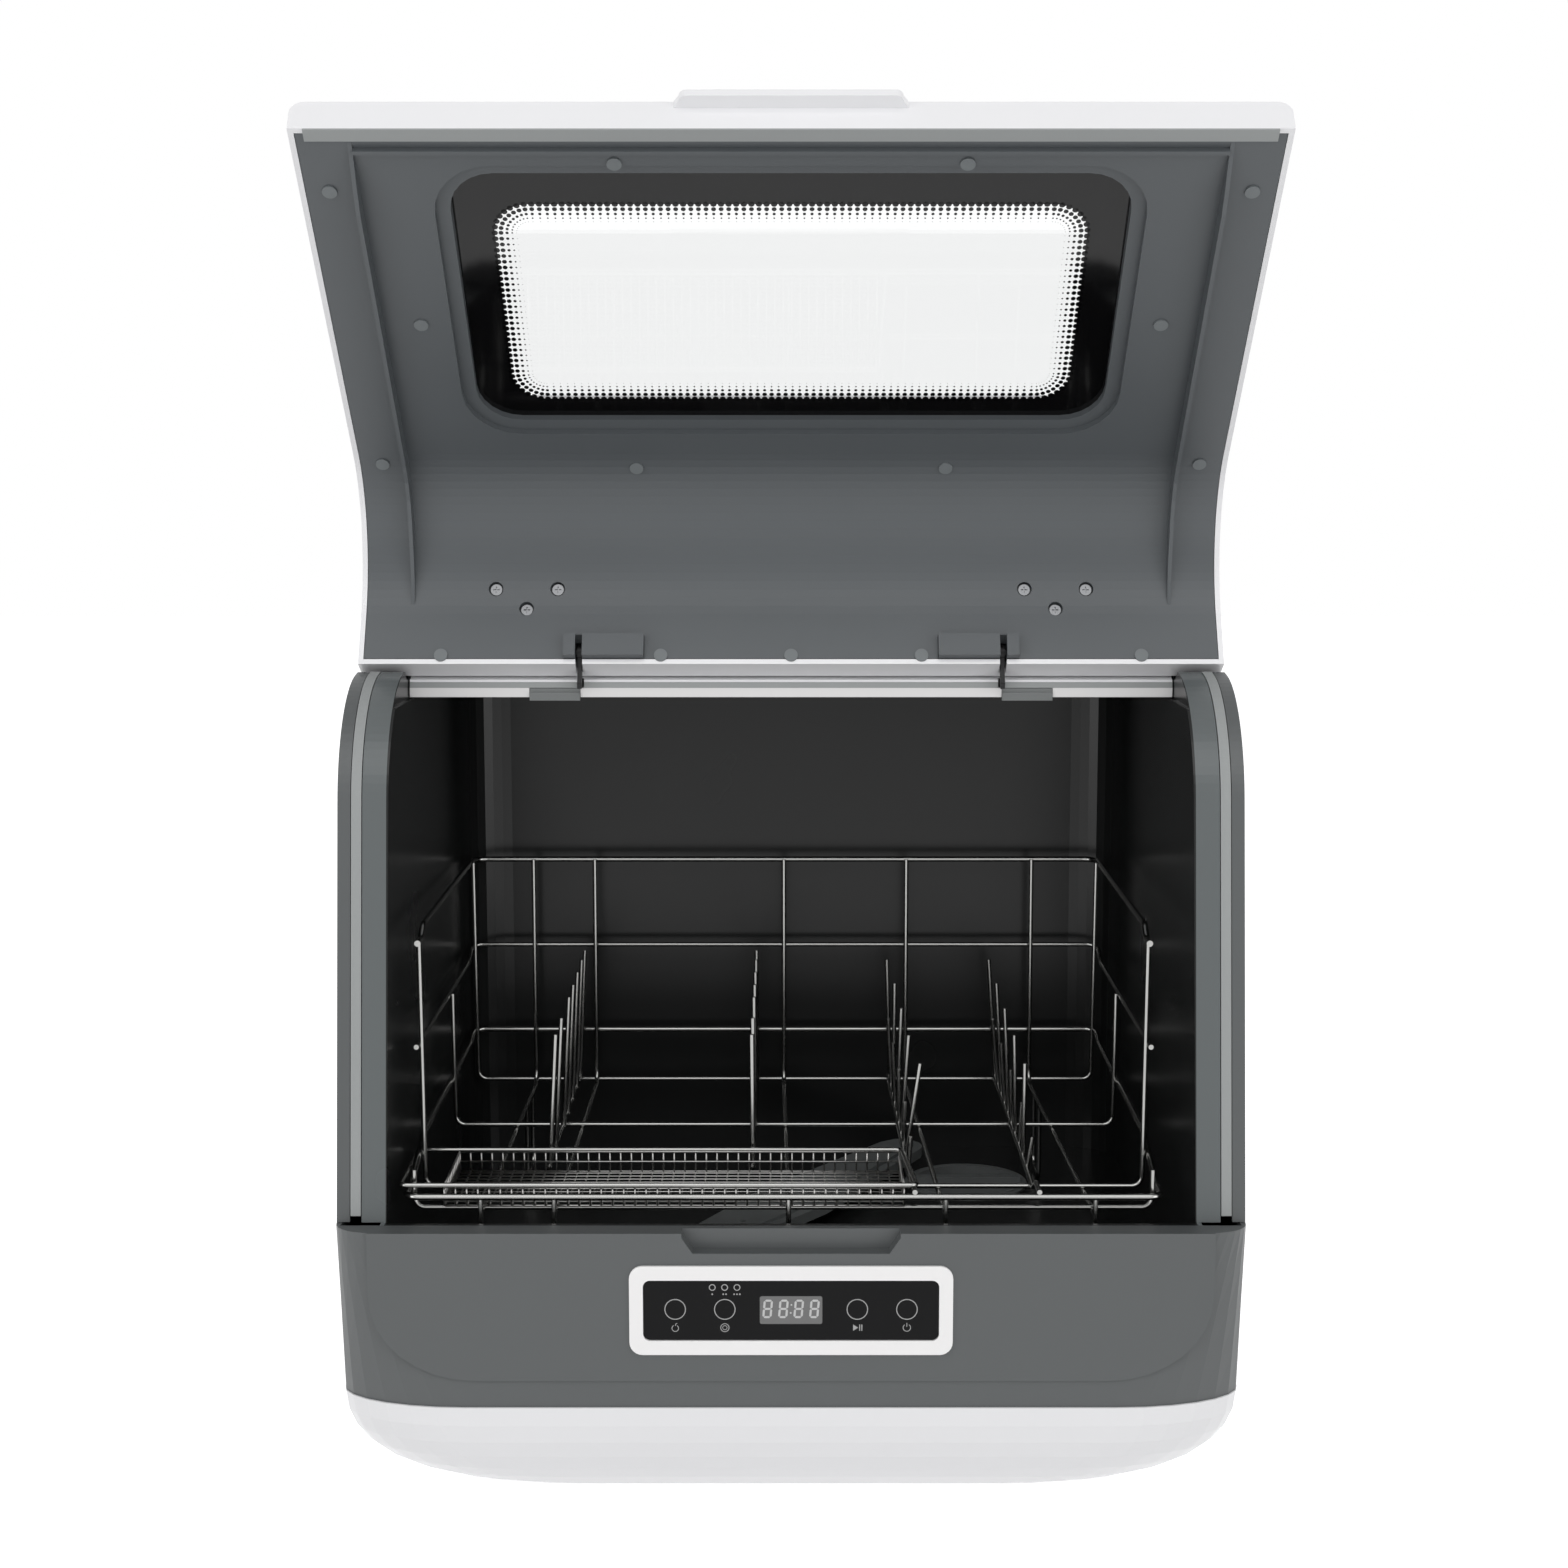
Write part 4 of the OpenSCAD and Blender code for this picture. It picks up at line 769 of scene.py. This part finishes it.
class DISHWASHER_OT_panel_print(bpy.types.Operator):
    """Prints the key rings, their plain signs and the lamp rings on the key panel"""

    bl_idname = "dishwasher.panel_print"
    bl_label = "Panel print"

    def execute(self, context):
        sizes = context.scene.dishwasher_sizes
        finishes = context.scene.dishwasher_finishes
        r, line = sizes.ring_radius / MM, sizes.ring_line / MM
        shapes = [ring(x, KEY_RISE, r, line) for x in KEYS]
        shapes += [ring(x, LAMP_RISE, LAMP_RADIUS, LAMP_LINE, 24) for x in LAMPS]
        for k, x in enumerate(LAMPS):
            for i in range(k + 1):
                shapes.append(
                    disc(x + (i - k / 2) * COUNT_PITCH, COUNT_RISE, COUNT_RADIUS, 10))
        fruit, plate, start, power = KEYS
        z = SIGN_RISE
        shapes += [
            # a fruit with its stalk
            stroke(arc(fruit, z - 0.3, 1.5, 120, 420, 30), THIN),
            stroke([(fruit, z + 0.9), (fruit + 0.2, z + 1.7), (fruit + 0.9, z + 2.1)], THIN),
            # a plate with its well
            ring(plate, z, 1.9, THIN, 32),
            ring(plate, z, 1.0, THIN * 0.8, 24),
            # start and hold
            ([(start - 1.9, z - 1.5), (start + 0.4, z), (start - 1.9, z + 1.5)], [(0, 1, 2)]),
            stroke([(start + 1.1, z - 1.5), (start + 1.1, z + 1.5)], 0.45),
            stroke([(start + 2.1, z - 1.5), (start + 2.1, z + 1.5)], 0.45),
            # the usual sign for power
            stroke(arc(power, z, 1.7, 125, 415, 30), THIN),
            stroke([(power, z + 0.4), (power, z + 2.3)], THIN),
        ]
        dress(printed_acrylic(finishes.key_panel), "control_panel")
        points, faces = on_plane(joined(shapes), panel_place("control_panel", PRINT_GAP * MM))
        solid("panel_print", points, faces, screen_ink(finishes.ink), "cabinet")
        return {"FINISHED"}


class DISHWASHER_OT_display(bpy.types.Operator):
    """Makes the bars of the display's four digits and its colon"""

    bl_idname = "dishwasher.display"
    bl_label = "Display"

    def execute(self, context):
        sizes = context.scene.dishwasher_sizes
        dress(smoked_acrylic(), "display_window")
        across, tall = DIGIT_WIDTH - BAR_WIDTH, sizes.digit_height / MM - BAR_WIDTH
        lean = math.tan(sizes.digit_slant)
        shapes = []
        for centre in DIGITS:
            for x0, y0, x1, y1 in BARS:
                a = Vector(((x0 - 0.5) * across, (y0 - 0.5) * tall))
                b = Vector(((x1 - 0.5) * across, (y1 - 0.5) * tall))
                along = (b - a).normalized()
                side = Vector((-along.y, along.x)) * BAR_WIDTH / 2
                a, b = a + along * BAR_GAP, b - along * BAR_GAP
                tip = along * BAR_WIDTH / 2
                outline = [
                    a, a + tip + side, b - tip + side, b, b - tip - side, a + tip - side]
                leaning = [(centre + p.x + p.y * lean, p.y) for p in outline]
                shapes.append((leaning, [tuple(range(6))]))
        for y in (-COLON_HALF, COLON_HALF):
            shapes.append(disc(y * lean, y, COLON_RADIUS, 10))
        lifted = [([(x, y + DIGIT_RISE) for x, y in p], f) for p, f in shapes]
        place = panel_place("display_window", PRINT_GAP * MM)
        points, faces = on_plane(joined(lifted), place)
        solid("display_digits", points, faces, digit_mask(), "cabinet")
        return {"FINISHED"}


class DISHWASHER_OT_stage(bpy.types.Operator):
    """Sets the floor, the even white surround, the lamps and the camera"""

    bl_idname = "dishwasher.stage"
    bl_label = "Stage"

    def execute(self, context):
        scene = context.scene
        stage = scene.dishwasher_stage
        scene.view_settings.view_transform = "Standard"
        self.surround(scene, stage)
        self.lay_floor(scene, stage)
        self.lamp("key_lamp", stage.key_power, **KEY_LAMP)
        x, y, z = SIDE_LAMP["at"]
        for side in (-1, 1):
            self.lamp("side_lamp", stage.fill_power, **{**SIDE_LAMP, "at": (side * x, y, z)})
        lens = bpy.data.cameras.new("camera")
        lens.lens = stage.lens
        lens.sensor_width = SENSOR
        lens.shift_x = stage.shift
        camera = bpy.data.objects.new("camera", lens)
        scene.collection.objects.link(camera)
        panel_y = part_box("front_panel")[0].y
        camera.location = (0, panel_y - stage.distance, stage.height)
        camera.rotation_euler = (math.pi / 2 - stage.pitch, 0, 0)
        scene.camera = camera
        return {"FINISHED"}

    def surround(self, scene, stage):
        """White to the eye, in glass and in metal, and plain soft light for all else."""
        world = bpy.data.worlds.new("surround")
        tree = empty_tree(world)
        strength = add(tree, "ShaderNodeMapRange", {"To Min": stage.sky, "To Max": 1.0},
            {"Value": seen(tree)})
        back = add(tree, "ShaderNodeBackground", {"Color": (1, 1, 1, 1)},
            {"Strength": (strength, "Result")})
        add(tree, "ShaderNodeOutputWorld", None, {"Surface": (back, "Background")})
        scene.world = world

    def lay_floor(self, scene, stage):
        """A pale floor that the camera sees as white, apart from the shadow on it."""
        made = bpy.data.materials.new("PaleFloor")
        tree = empty_tree(made)
        lift = add(tree, "ShaderNodeMath", {1: FLOOR_GLOW}, {0: seen(tree)},
            operation="MULTIPLY")
        paint = add(tree, "ShaderNodeBsdfDiffuse", {"Color": [stage.floor] * 3 + [1]})
        glow = add(tree, "ShaderNodeEmission", {"Color": (1, 1, 1, 1)}, {"Strength": (lift, 0)})
        both = add(tree, "ShaderNodeAddShader", None, {0: (paint, 0), 1: (glow, 0)})
        add(tree, "ShaderNodeOutputMaterial", None, {"Surface": (both, 0)})
        mesh = bpy.data.meshes.new("floor")
        shape = bmesh.new()
        bmesh.ops.create_grid(shape, x_segments=8, y_segments=8, size=FLOOR_HALF)
        shape.to_mesh(mesh)
        shape.free()
        mesh.materials.append(made)
        floor = bpy.data.objects.new("floor", mesh)
        floor.location = (0, 0, CAD_BOX[0].z - FLOOR_DROP)
        scene.collection.objects.link(floor)

    def lamp(self, name, power, at, aim, wide, tall):
        """A soft box that points at a place on the object."""
        light = bpy.data.lights.new(name, "AREA")
        light.shape = "RECTANGLE"
        light.size, light.size_y = wide, tall
        light.energy = power
        lamp = bpy.data.objects.new(name, light)
        lamp.location = at
        lamp.rotation_euler = (Vector(aim) - Vector(at)).to_track_quat("-Z", "Y").to_euler()
        bpy.context.scene.collection.objects.link(lamp)


STEPS = (
    DISHWASHER_OT_dress_shell,
    DISHWASHER_OT_dress_tub,
    DISHWASHER_OT_dress_lid,
    DISHWASHER_OT_dress_rack,
    DISHWASHER_OT_basket_mesh,
    DISHWASHER_OT_dress_works,
    DISHWASHER_OT_window_border,
    DISHWASHER_OT_panel_print,
    DISHWASHER_OT_display,
    DISHWASHER_OT_stage,
)


class DISHWASHER_PT_panel(bpy.types.Panel):
    """Lists the steps and their settings in the sidebar"""

    bl_idname = "DISHWASHER_PT_panel"
    bl_label = "Dishwasher"
    bl_space_type = "VIEW_3D"
    bl_region_type = "UI"
    bl_category = "Dishwasher"

    def draw(self, context):
        for name in GROUPS:
            group = getattr(context.scene, name)
            box = self.layout.box()
            for setting in group.__annotations__:
                box.prop(group, setting)
        for step in STEPS:
            self.layout.operator(step.bl_idname)


GROUPS = {
    "dishwasher_finishes": DishwasherFinishes,
    "dishwasher_sizes": DishwasherSizes,
    "dishwasher_stage": DishwasherStage,
}


def register():
    """Makes the settings, the steps and the panel known to Blender."""
    for group in GROUPS.values():
        bpy.utils.register_class(group)
    for step in STEPS:
        bpy.utils.register_class(step)
    bpy.utils.register_class(DISHWASHER_PT_panel)
    for name, group in GROUPS.items():
        setattr(bpy.types.Scene, name, PointerProperty(type=group))


def unregister():
    """Takes away what register made."""
    for name in GROUPS:
        delattr(bpy.types.Scene, name)
    bpy.utils.unregister_class(DISHWASHER_PT_panel)
    for step in reversed(STEPS):
        bpy.utils.unregister_class(step)
    for group in GROUPS.values():
        bpy.utils.unregister_class(group)


def main():
    """Runs the steps in order."""
    register()
    for step in STEPS:
        area, name = step.bl_idname.split(".")
        getattr(getattr(bpy.ops, area), name)()


if __name__ == "__main__":
    main()
